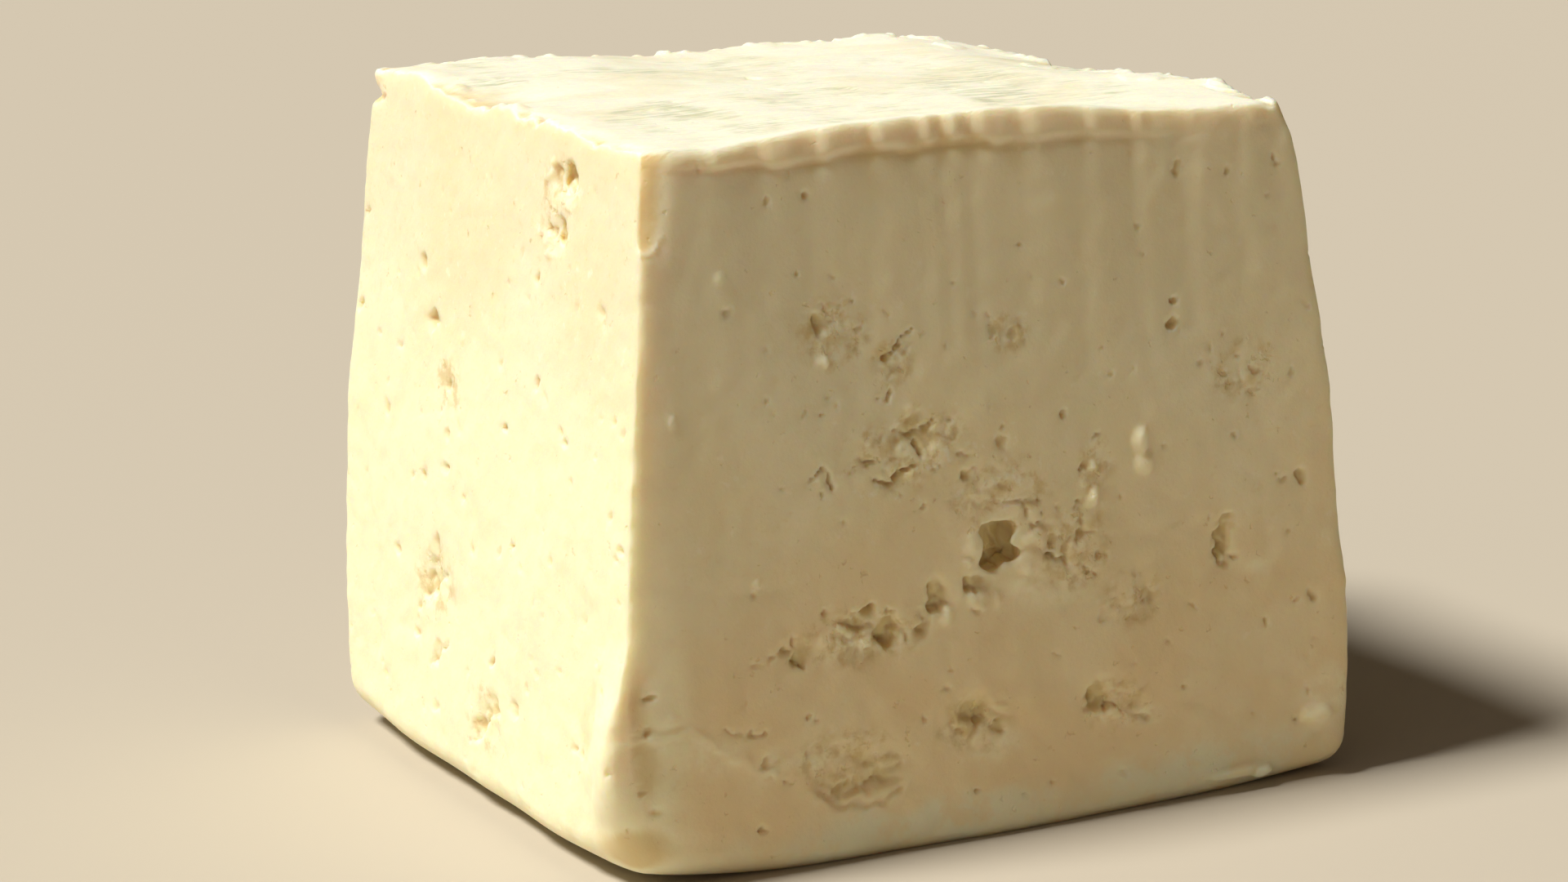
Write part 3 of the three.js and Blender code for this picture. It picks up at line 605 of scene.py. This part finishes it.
def cells(u, v, size, seed):
    """Distance to the nearest of points strewn one to a cell, and a number from 0 to 1 that it keeps."""
    u, v = u / size, v / size
    column, row = np.floor(u), np.floor(v)
    nearest, number = np.full(u.shape, 9.0), np.zeros(u.shape)
    for i in (-1, 0, 1):
        for j in (-1, 0, 1):
            c, r = column + i, row + j
            gap = np.hypot(c + jitter(c, r, seed) - u, r + jitter(c, r, seed + 1) - v)
            number = np.where(gap < nearest, jitter(c, r, seed + 2), number)
            nearest = np.minimum(nearest, gap)
    return nearest * size, number


def unrest(u, v, size, seed):
    """Smooth noise from about -1 to 1, its blotches about that size: two turned lattices of random values."""
    total = 0
    for turn in (1.3 * seed, 1.3 * seed + 0.8):
        a = (u * math.cos(turn) + v * math.sin(turn)) / size
        b = (v * math.cos(turn) - u * math.sin(turn)) / size
        column, row = np.floor(a), np.floor(b)
        s, t = a - column, b - row
        s, t = s * s * (3 - 2 * s), t * t * (3 - 2 * t)
        low = jitter(column, row, seed) * (1 - s) + jitter(column + 1, row, seed) * s
        high = jitter(column, row + 1, seed) * (1 - s) + jitter(column + 1, row + 1, seed) * s
        total = total + 2 * (low * (1 - t) + high * t) - 1
    return 0.72 * total


def spread_from(along, up, a, u, half_a, half_u, turn):
    """Distance from a feature's middle as a share of its half sizes, and the offsets themselves."""
    c, s = math.cos(math.radians(turn)), math.sin(math.radians(turn))
    x, y = along - a, up - u
    return np.hypot((c * x + s * y) / half_a, (c * y - s * x) / half_u), x, y


def bowl(along, up, a, u, half_a, half_u, deep, turn, steep):
    r, x, y = spread_from(along, up, a, u, half_a, half_u, turn)
    wall = (x * math.cos(math.radians(steep)) + y * math.sin(math.radians(steep))) / (np.hypot(x, y) + 0.01)
    share = 1 - smooth(0.3 + 0.35 * wall, 1.0, r)
    return deep * share * (0.6 + 0.4 * wall * smooth(0, 0.8, r))


def away_from_line(along, up, line):
    nearest = np.full(along.shape, 99.0)
    for (a0, u0), (a1, u1) in zip(line, line[1:]):
        run_a, run_u = a1 - a0, u1 - u0
        share = np.clip(((along - a0) * run_a + (up - u0) * run_u) / (run_a**2 + run_u**2), 0, 1)
        nearest = np.minimum(nearest, np.hypot(along - a0 - share * run_a, up - u0 - share * run_u))
    return nearest


def patch_share(patches, side, along, up):
    """How far each point of a side lies in the patches: 1 well inside them, 0 outside."""
    share = np.zeros(len(along))
    for a, u, half_a, half_u in patches[side]:
        share = np.maximum(share, 1 - smooth(0.2, 1.1, np.hypot((along - a) / half_a, (up - u) / half_u)))
    return share


def near(along, up, a, u, reach):
    """Which points of a side lie within reach of a place on it."""
    return np.nonzero((np.abs(along - a) < reach) & (np.abs(up - u) < reach))[0]


def weathered(side, rows):
    """More features of each kind on a side, round its hollows and strewn between them."""
    *_, reach = side_frame(side)
    for _, a, u, wide, tall, deep, turn in rows:
        BOWLS[side].append((a, u, wide * 0.9, tall * 0.9, deep * 0.5, turn, rng.uniform(160, 260)))
        for _ in range(3):
            ca, cu = a + rng.uniform(-9, 9), u + rng.uniform(-6, 6)
            heading = rng.uniform(-60, 60)
            line = [(ca, cu)]
            for _ in range(3):
                heading += rng.uniform(-50, 50)
                ca += 1.5 * math.cos(math.radians(heading))
                cu += 1.5 * math.sin(math.radians(heading))
                line.append((ca, cu))
            CRACKS[side].append((1.0, rng.uniform(0.5, 1.2), line))
            CURDS[side].append((a + rng.uniform(-7, 7), u + rng.uniform(-4, 4), *rng.uniform(0.9, 2.0, 2),
                                rng.uniform(0.3, 0.6), 0))
    for _ in range(34):
        PITS[side].append((rng.uniform(10, reach - 12), rng.uniform(8, 92), rng.uniform(0.7, 1.3),
                           rng.uniform(0.4, 1.0)))
    for _ in range(12):
        wide = rng.uniform(0.8, 1.8)
        BOWLS[side].append((rng.uniform(12, reach - 14), rng.uniform(8, 88), wide,
                            wide * rng.uniform(0.5, 0.9), rng.uniform(0.5, 1.2), rng.uniform(-40, 40),
                            rng.uniform(160, 260)))


for side in ("right", "back"):
    weathered(side, [hollow for hollow in HOLLOWS if hollow[0] == side])

points = read_points(block)
moved = np.zeros_like(points)
for side, seed in SEEDS.items():
    middle, run, out, reach = side_frame(side)
    depth = -((points - middle) @ out)
    here = np.nonzero(depth < 6)[0]
    spot, depth = points[here], depth[here]
    pressed = press(spot)
    along, up = pressed @ run + reach / 2, pressed[:, 2]
    skin = 1 - smooth(0.4, 2.4, depth)
    height = np.zeros(len(here))

    # the lip, a roll that steps out at each fold of the cloth, and the soft flutes under it
    roll = np.zeros(len(here))
    if side in ("front", "back"):
        beyond = along - np.array(FOLDS)[:, None] - 0.3 * unrest(along, up, 4, seed)
        pitch = np.diff(FOLDS, append=FOLDS[-1] + 9)[:, None]
        recedes = 1 - smooth(0.25, 1.0, beyond / pitch)
        step = (smooth(-0.5, 1.9, beyond) * recedes).max(axis=0)
        soft_step = (smooth(-1.6, 2.4, beyond) * recedes).max(axis=0)
        foot = LIP["foot"] + 1.8 * (1 - smooth(12, 30, along)) - 0.9 * smooth(55, 72, along)
        foot = foot + 0.4 * unrest(along, 0 * up, 7, seed + 2) + 0.2 * unrest(along, 0 * up, 2, seed + 6)
        lip = smooth(foot - 0.2, foot + 0.7, up) * smooth(9, 14, along)
        fades = 1 - smooth(70, 104, along)
        high = LIP["proud"] * (0.25 + 0.75 * fades) * (1 - LIP["fold"])
        high = high + LIP["fold"] * step * (0.5 + 0.5 * fades)
        height += high * lip - 0.25 * fades * smooth(10, 22, along) * np.exp(-((up - foot + 0.4) / 0.4) ** 2)
        roll = -LIP["roll"] * smooth(foot + 0.4, 108.0, up) ** 1.5
        deep = LIP["flute"] * (0.6 + 0.7 * smooth(50, 88, along)) * (1 - smooth(104, 112, along))
        height += deep * soft_step * smooth(LIP["fades at"], foot - 6, up) * (1 - lip)

    # slow swells, then measures bent a little, so that no outline is a plain ellipse
    small_swells = 0.06 * SWELLS[side] * unrest(along, up, 4.5, seed + 51)
    height += 0.12 * unrest(along, up, 13, seed + 50) + small_swells
    billow = np.abs(unrest(along, 1.3 * up, 11, seed + 52))
    billow = billow + 0.4 * np.abs(unrest(along, 1.3 * up, 5, seed + 53))
    billow = smooth(0.0, 0.6, billow) * smooth(-0.3, 0.5, unrest(along, up, 8, seed + 54))
    height += SWELLS[side] * (0.2 * smooth(66, 34, up) * billow + 0.12 * unrest(along, up, 2.2, seed + 55))
    a_bent = along + 0.7 * unrest(along, up, 2.2, seed) + 0.5 * unrest(along, up, 1.0, seed + 3)
    u_bent = up + 0.7 * unrest(along, up, 2.2, seed + 1) + 0.5 * unrest(along, up, 1.0, seed + 4)
    vary = 0.72 + 0.5 * unrest(along, up, 1.7, seed + 5)
    sunk = np.zeros(len(here))

    # hollows with rough floors, and round pits
    for a, u, half_a, half_u, deep, *turns in BOWLS[side]:
        turn, steep = turns or (0, 180)
        half_a, half_u, deep = half_a * BOLDER[side], half_u * BOLDER[side], deep * BOLDER[side]
        n = near(along, up, a, u, 1.2 * max(half_a, half_u) + 1)
        sunk[n] = np.maximum(sunk[n], bowl(a_bent[n], u_bent[n], a, u, half_a, half_u, deep, turn, steep))
    rough = 0.5 * np.abs(unrest(a_bent, u_bent, 1.6, seed + 60)) + 0.35 * unrest(along, up, 0.9, seed + 61)
    height -= SOFTER * sunk * (0.8 + 0.28 * vary) - rough * smooth(0.2, 1.4, sunk)
    for a, u, wide, deep in PITS[side]:
        wide, deep = wide * BOLDER[side], deep * BOLDER[side]
        n = near(along, up, a, u, wide + 1)
        height[n] -= bowl(a_bent[n], u_bent[n], a, u, 0.62 * wide, 0.6 * wide, deep, 0, 200)

    # cracks that break off here and there, soft folds, and curds that stand proud
    broken = smooth(-0.4, 0.2, unrest(along, up, 1.5, seed + 7))
    for lines, sign in ((CRACKS[side], -1), (RIDGES[side], 1)):
        for wide, deep, line in lines:
            a, u = np.mean(line, axis=0)
            n = near(along, up, a, u, np.ptp(line, axis=0).max() / 2 + wide + 1)
            share = 1 - smooth(0.05, 0.46 * wide, away_from_line(a_bent[n], u_bent[n], line) / vary[n])
            height[n] += sign * SOFTER * deep * share * np.maximum(broken[n], wide > WIDEST_BROKEN)
    proud = np.zeros(len(here))
    for a, u, half_a, half_u, high, turn in CURDS[side]:
        n = near(along, up, a, u, max(half_a, half_u) + 1)
        r = spread_from(a_bent[n], u_bent[n], a, u, half_a, half_u, turn)[0]
        proud[n] = np.maximum(proud[n], high * np.maximum(0, 1 - r * r) ** 0.8)
    height += 0.8 * proud

    # torn patches: lumps parted by creases that come and go
    torn = np.maximum(patch_share(TORN, side, along, up), smooth(0.1, 0.7, sunk))
    for size, deep, gate in ((3.4, 0.5, 6.0), (1.8, 0.4, 3.6), (1.1, 0.22, 2.4)):
        crease = np.abs(unrest(a_bent, u_bent, size, seed + 10 * size))
        there = torn * smooth(-0.15, 0.4, unrest(along, up, gate, seed + 11 * size))
        height -= TORN_DEPTH[side] * deep * there * (1 - smooth(0, 0.34, crease))

    # a few small pits everywhere
    gap, number = cells(a_bent, u_bent, 5.5, seed + 40)
    wide = 0.3 + 0.5 * number**3
    chosen = jitter(np.floor(number * 1e4), number, 5) < 0.3 - 0.2 * smooth(60, 90, up)
    height -= chosen * 0.7 * wide * (1 - smooth(0.3, 1, gap / wide))
    moved[here] += (skin * height + (1 - smooth(0, 4.5, depth)) * roll)[:, None] * out

points += moved

# The walls of the deep pockets are lumpy too
inside = 0.5 * smooth(1.0, 2.4, depth_below_skin(points))[:, None]
bulges = [wave(*points.T, 3.1, 2 + i) + 0.5 * wave(*points.T, 1.5, 5 + i) for i in range(3)]
points += inside * np.stack(bulges, axis=1)

# The top: pressed flat but rough, with grain along the block and crumbling edges
x, y, z = points.T
from_left, from_right, from_front, from_back = x + WIDTH / 2, WIDTH / 2 - x, y + DEPTH / 2, DEPTH / 2 - y
top = 1 - smooth(0.3, 2.2, HEIGHT - z)
grain = 0.10 * unrest(x, 4 * y, 9, 61) + 0.07 * unrest(x, 6 * y, 5, 62) + 0.12 * unrest(x, y, 11, 63)
at_ends = np.maximum(smooth(5, 1, from_left), smooth(6, 1, from_right))
crumbling = np.maximum(smooth(5, 1, from_back), at_ends)
loss = smooth(-0.1, 0.8, unrest(x, y, 5.5, 64)) + 0.6 * smooth(0.1, 0.8, unrest(x, y, 2.4, 65))
pocked = smooth(0.55, 0.95, unrest(x, y, 2.2, 66)) * smooth(0, 0.6, unrest(x, y, 14, 67))
jagged = smooth(7, 2, from_back) * smooth(0, 40, x) + 0.7 * smooth(7, 2, from_right)
steps = smooth(-0.1, 0.08, unrest(x, 2 * y, 9, 71)) - 0.5 * smooth(0.1, 0.25, unrest(x, 2 * y, 5, 72))
bent_x, bent_y = x + 0.8 * unrest(x, y, 2.4, 68), y + 0.8 * unrest(x, y, 2.4, 69)
chipped = 0
for cx, cy, reach, high, soft in CHIPS:
    gap = np.hypot(bent_x - cx, bent_y - cy) / reach
    chipped = chipped + high * (1 - smooth(1 - 0.8 * soft, 1 + 0.5 * soft, gap))
points[:, 2] += top * (grain - 0.5 * crumbling * loss - 0.35 * pocked - 0.6 * jagged * steps)
points[:, 2] += (1 - smooth(0, 9, HEIGHT - z)) * chipped

# The front edge of the top stands up as a low rim, most in its middle, and slopes down towards the right
RIM = {"left": 0.9, "middle": 1.4, "right": -1.0, "wide": 8.5, "deep": 8}
rim = RIM["left"] * smooth(-52, -40, x) + RIM["middle"] * smooth(-50, -15, x) * smooth(42, 8, x)
rim = rim + RIM["right"] * smooth(16, 44, x)
points[:, 2] += rim * smooth(RIM["wide"], 0, from_front) ** 1.5 * smooth(HEIGHT - RIM["deep"], HEIGHT, z)

# The upright edges' upper ends: a nick under the back left corner, and the front right one rounded off
NICK = {"deep": 1.7, "up": 101.5, "half": 1.2, "wide": 5}
BLUNT = {"deep": 1.3, "from": 97, "wide": 7}
nick = NICK["deep"] * np.exp(-(((z - NICK["up"]) / NICK["half"]) ** 2))
nick = nick * smooth(NICK["wide"], 0, from_left + from_back)
points[:, :2] += nick[:, None] * np.array([0.7, -0.7])
blunt = BLUNT["deep"] * smooth(BLUNT["from"], HEIGHT, z) * smooth(BLUNT["wide"], 0, from_right + from_front)
points[:, :2] += blunt[:, None] * np.array([-0.8, 0.4])

# The upright edge between the lit end and the broad side flares out above the foot and is undercut below
plain = press(points)
FLARE = {"out": 3.4, "wide": 14, "up": (38, 17), "down": (0, 15)}
UNDERCUT = {"deep": 1.6, "up": (12, 2)}
edge = smooth(FLARE["wide"], 0, from_left + from_front)
points[:, 0] -= FLARE["out"] * edge * smooth(*FLARE["up"], z) * smooth(*FLARE["down"], z)
points[:, :2] += (UNDERCUT["deep"] * edge * smooth(*UNDERCUT["up"], z))[:, None] * np.array([1.0, 0.9])

# Its upper end is cut off aslant
ASLANT = {"deep": 1.5, "up": (91, 94.5), "slope": 0.4, "wide": 6}
aslant = ASLANT["deep"] * smooth(*ASLANT["up"], z + ASLANT["slope"] * from_left)
points[:, 1] += aslant * smooth(ASLANT["wide"], 0, from_left) * smooth(ASLANT["wide"], 0, from_front)
pressed = press(points)
pressed[:, 2] = np.maximum(pressed[:, 2], 0)
write_points(block, pressed)
triangles = 2 * len(block.data.polygons)
apply_modifier(block, "DECIMATE", ratio=min(1, MOST_TRIANGLES / triangles))

# Centred on the solid that it stands for, its flared edge left out
low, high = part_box("tofu_block")
final = read_points(block)
low, high = np.array(low) / MM, np.array(high) / MM
block_middle = (plain.min(axis=0) + plain.max(axis=0)) / 2
final[:, :2] += ((low + high) / 2 - block_middle)[:2]
write_points(block, final)
straight = unpress(final)
depth = depth_below_skin(straight)

# How much deeper each point lies than its surroundings, for the painted shade in pits and the painted
# highlight on proud curds
pair = np.empty(2 * len(block.data.edges), np.int32)
block.data.edges.foreach_get("vertices", pair)
one, other = pair.reshape(-1, 2).T
neighbours = np.bincount(one, minlength=len(depth)) + np.bincount(other, minlength=len(depth))


def spread(values, times):
    """Each point's value as the mean of its neighbours', that many times over."""
    for _ in range(times):
        total = np.bincount(one, values[other], len(values)) + np.bincount(other, values[one], len(values))
        values = total / neighbours
    return values


hollow = np.clip(depth, -2, 8) - spread(np.clip(depth, -2, 2), 60)
hollow = (hollow + spread(hollow, 1)) / 2
facing = np.empty(3 * len(depth), np.float32)
block.data.vertex_normals.foreach_get("vector", facing)
torn, paler = np.zeros(len(depth)), np.zeros(len(depth))
for side in SIDES:
    middle, run, out, reach = side_frame(side)
    along, up, owned = final @ run + reach / 2, final[:, 2], 1 - smooth(3, 6, -((straight - middle) @ out))
    torn = np.maximum(torn, owned * patch_share(TORN, side, along, up))
    along, up = along + 2.5 * unrest(along, up, 8, 81), up + 2.5 * unrest(along, up, 6, 82)
    paler = np.maximum(paler, owned * patch_share(PALER, side, along, up))
top = smooth(0.3, 0.75, facing[2::3]) * smooth(HEIGHT - 6, HEIGHT - 4, straight[:, 2])
for name, values in (("hollow", hollow), ("torn", torn), ("paler", paler), ("top", spread(top, 2))):
    attribute = block.data.attributes.new(name, "FLOAT", "POINT")
    attribute.data.foreach_set("value", values.astype(np.float32))
bpy.ops.object.select_all(action="DESELECT")
block.select_set(True)
bpy.context.view_layer.objects.active = block
bpy.ops.object.shade_smooth()

# Colours of the curd
CREAM, PALE, GREENISH = (0.85, 0.765, 0.505), (0.87, 0.81, 0.58), (0.81, 0.785, 0.55)
TAN_SPECK, WHITE_SPECK, BROWN_SPECK_AND_SHADE = (0.78, 0.67, 0.39), (0.92, 0.88, 0.70), (0.66, 0.50, 0.22)
PROUD_HIGHLIGHT, SUNKEN_SHADE, DEEPEST_SHADE = (0.92, 0.87, 0.68), (0.73, 0.585, 0.28), (0.71, 0.53, 0.24)
TOP_WHITE_SHEEN, TOP_GREY_REFLECTION = (0.93, 0.92, 0.76), (0.60, 0.61, 0.43)
WARM_BOUNCE, BRIGHT_BOUNCE, DULLER_SHADE = (0.83, 0.66, 0.38), (0.94, 0.885, 0.61), (0.79, 0.71, 0.485)
WHEY, GREYER = (0.92, 0.84, 0.58), (0.82, 0.80, 0.59)

curd = bpy.data.materials.new("pressed curd")
curd.use_nodes = True
nodes, links = curd.node_tree.nodes, curd.node_tree.links
shader = nodes["Principled BSDF"]
place = nodes.new("ShaderNodeTexCoord").outputs["Object"]


def blotches(size, detail=3, roughness=0.55, where=None):
    """Noise with blotches that many millimetres wide."""
    noise = nodes.new("ShaderNodeTexNoise")
    noise.inputs["Scale"].default_value = 1000 / size
    noise.inputs["Detail"].default_value = detail
    noise.inputs["Roughness"].default_value = roughness
    links.new(where or place, noise.inputs["Vector"])
    return noise.outputs["Fac"]


def grains(size):
    """0 at points strewn about that many millimetres apart, and about 0.7 halfway between them."""
    strewn = nodes.new("ShaderNodeTexVoronoi")
    strewn.inputs["Scale"].default_value = 1000 / size
    strewn.inputs["Randomness"].default_value = 1
    links.new(curdled, strewn.inputs["Vector"])
    return strewn.outputs["Distance"]


def painted(name):
    attribute = nodes.new("ShaderNodeAttribute")
    attribute.attribute_name = name
    return attribute.outputs["Fac"]


def eased(value, low, high, start=0.0, stop=1.0):
    """Start below low, stop above high, and an eased change between them."""
    ease = nodes.new("ShaderNodeMapRange")
    ease.interpolation_type = "SMOOTHSTEP"
    for name, number in (("From Min", low), ("From Max", high), ("To Min", start), ("To Max", stop)):
        ease.inputs[name].default_value = number
    links.new(value, ease.inputs["Value"])
    return ease.outputs["Result"]


def times(one, other):
    product = nodes.new("ShaderNodeMath")
    product.operation = "MULTIPLY"
    links.new(one, product.inputs[0])
    links.new(other, product.inputs[1])
    return product.outputs["Value"]


def plus(value, extra, by):
    """The value, raised by that much where the extra is 1."""
    total = nodes.new("ShaderNodeMath")
    total.operation = "MULTIPLY_ADD"
    links.new(extra, total.inputs[0])
    total.inputs[1].default_value = by
    links.new(value, total.inputs[2])
    return total.outputs["Value"]


def over(share, under, colour):
    """The colour laid over what is under it, as far as the share says."""
    blend = nodes.new("ShaderNodeMix")
    blend.data_type = "RGBA"
    links.new(share, blend.inputs[0])
    for socket, paint in ((blend.inputs[6], under), (blend.inputs[7], colour)):
        if isinstance(paint, tuple):
            socket.default_value = (*paint, 1)
        else:
            links.new(paint, socket)
    return blend.outputs[2]


def bumped(height, strength, distance, under=None):
    bump = nodes.new("ShaderNodeBump")
    bump.inputs["Strength"].default_value = strength
    bump.inputs["Distance"].default_value = distance * MM
    links.new(height, bump.inputs["Height"])
    if under:
        links.new(under, bump.inputs["Normal"])
    return bump.outputs["Normal"]


# The same place, bent a little by noise, so that grains have no straight borders
bend = nodes.new("ShaderNodeTexNoise")
bend.inputs["Scale"].default_value = 1000 / 1.6
bend.inputs["Detail"].default_value = 3
links.new(place, bend.inputs["Vector"])
mixing = nodes.new("ShaderNodeMix")
mixing.data_type = "VECTOR"
mixing.inputs[0].default_value = 0.0016
links.new(place, mixing.inputs[4])
links.new(bend.outputs["Color"], mixing.inputs[5])
curdled = mixing.outputs[1]

# Streaks along the top
stretched = nodes.new("ShaderNodeMapping")
stretched.inputs["Scale"].default_value = (1, 7, 1)
links.new(place, stretched.inputs["Vector"])
streaks = blotches(7, 4, 0.65, stretched.outputs["Vector"])

# The cream of the curd, cleaner or browner from place to place
hollow_share, top_share, paler_share = painted("hollow"), painted("top"), painted("paler")
broad, middling, small = blotches(14, 2, 0.5), blotches(5, 3, 0.6), blotches(2.6, 3, 0.62)
colour = over(eased(blotches(26), 0.35, 0.65), CREAM, PALE)
colour = over(eased(blotches(7, 4, 0.6), 0.50, 0.72, 0, 0.9), colour, GREENISH)
colour = over(eased(blotches(1.3, 3, 0.6), 0.54, 0.8, 0, 0.6), colour, TAN_SPECK)
torn_part = painted("torn")
flecks = eased(plus(blotches(2.3, 3, 0.65), torn_part, 0.10), 0.60, 0.78)
colour = over(flecks, colour, WHITE_SPECK)

# Where on the block tints and painted light and shade belong, in metres
axes = nodes.new("ShaderNodeSeparateXYZ")
links.new(place, axes.inputs["Vector"])
across, rise = axes.outputs["X"], axes.outputs["Z"]
not_left = eased(across, -0.057, -0.052)
crumbly = times(times(eased(torn_part, 0.15, 0.8), eased(middling, 0.42, 0.58)), not_left)
grain_gap_shade = times(crumbly, eased(grains(2.6), 0.36, 0.85, 0, 0.6))
clustered = plus(plus(blotches(1.9, 2, 0.6), torn_part, 0.09), broad, 0.14)
specks = eased(clustered, 0.73, 0.90)
colour = over(times(specks, eased(top_share, 0, 0.5, 0.8, 0)), colour, BROWN_SPECK_AND_SHADE)
# painted shade: the sides duller high up, where less warm bounce light reaches
high_up_shade = times(eased(rise, 0.045, 0.08, 0, 0.6), not_left)
colour = over(high_up_shade, colour, DULLER_SHADE)
# painted bounce light: the sides warmer low down
low_down_bounce = times(eased(rise, 0.075, 0.02), not_left)
colour = over(times(low_down_bounce, eased(broad, 0.35, 0.6, 0.5, 0.85)), colour, WARM_BOUNCE)
# painted bounce light: the lit end brighter near its foot
lit_end = times(eased(rise, 0.085, 0.05), eased(across, -0.048, -0.058))
colour = over(times(lit_end, eased(middling, 0.3, 0.6, 0.55, 0.95)), colour, BRIGHT_BOUNCE)
whey_tone = over(eased(rise, 0.012, 0.006), WHEY, GREYER)
colour = over(times(paler_share, eased(middling, 0.36, 0.56, 0.25, 0.9)), colour, whey_tone)

# Torn curd is browner in small blotches, with painted shade in the gaps between its grains; proud curd gets a
# painted highlight, hollows get painted shade that is darker the deeper they are, and the top is whitest,
# partly its own colour and partly painted sheen, with painted reflections in grey patches
# torn curd browner in small blotches
browner_blotches = times(eased(torn_part, 0.05, 0.7), eased(small, 0.48, 0.66, 0, 0.6))
colour = over(browner_blotches, colour, BROWN_SPECK_AND_SHADE)
# painted shade in the gaps between the grains of torn curd
colour = over(grain_gap_shade, colour, BROWN_SPECK_AND_SHADE)
# painted highlight on curds that stand proud
colour = over(eased(hollow_share, -0.15, -0.7, 0, 0.25), colour, PROUD_HIGHLIGHT)
# the top whiter: partly its own colour, partly painted sheen
colour = over(times(eased(top_share, 0, 1, 0, 0.9), eased(broad, 0.3, 0.55, 0.5, 1)), colour, TOP_WHITE_SHEEN)
# painted reflections: grey patches along the streaks of the top
grey_reflection_patch = times(eased(blotches(19, 4, 0.6), 0.48, 0.66, 0, 1), eased(streaks, 0.4, 0.62))
colour = over(times(top_share, grey_reflection_patch), colour, TOP_GREY_REFLECTION)
# painted shade in the hollows, darker the deeper they lie
colour = over(eased(hollow_share, 0.12, 0.65, 0, 0.8), colour, SUNKEN_SHADE)
deep_down_shade = times(eased(hollow_share, 0.8, 5.2, 0, 0.95), eased(small, 0.35, 0.6, 0.5, 1))
colour = over(deep_down_shade, colour, DEEPEST_SHADE)
links.new(colour, shader.inputs["Base Color"])

# Moist, with light that scatters under the skin, and a fine grain
shader.inputs["Roughness"].default_value = 0.5
shader.inputs["Subsurface Weight"].default_value = 0.8
shader.inputs["Subsurface Radius"].default_value = (1.0, 0.62, 0.28)
shader.inputs["Subsurface Scale"].default_value = 0.004
surface = bumped(blotches(0.9, 4, 0.6), 0.35, 0.2)
surface = bumped(eased(specks, 0, 1, 1, 0), 0.5, 0.35, surface)
surface = bumped(times(streaks, top_share), 0.8, 0.6, surface)
links.new(surface, shader.inputs["Normal"])
block.data.materials.clear()
block.data.materials.append(curd)

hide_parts("tofu_block")
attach(block, "root")
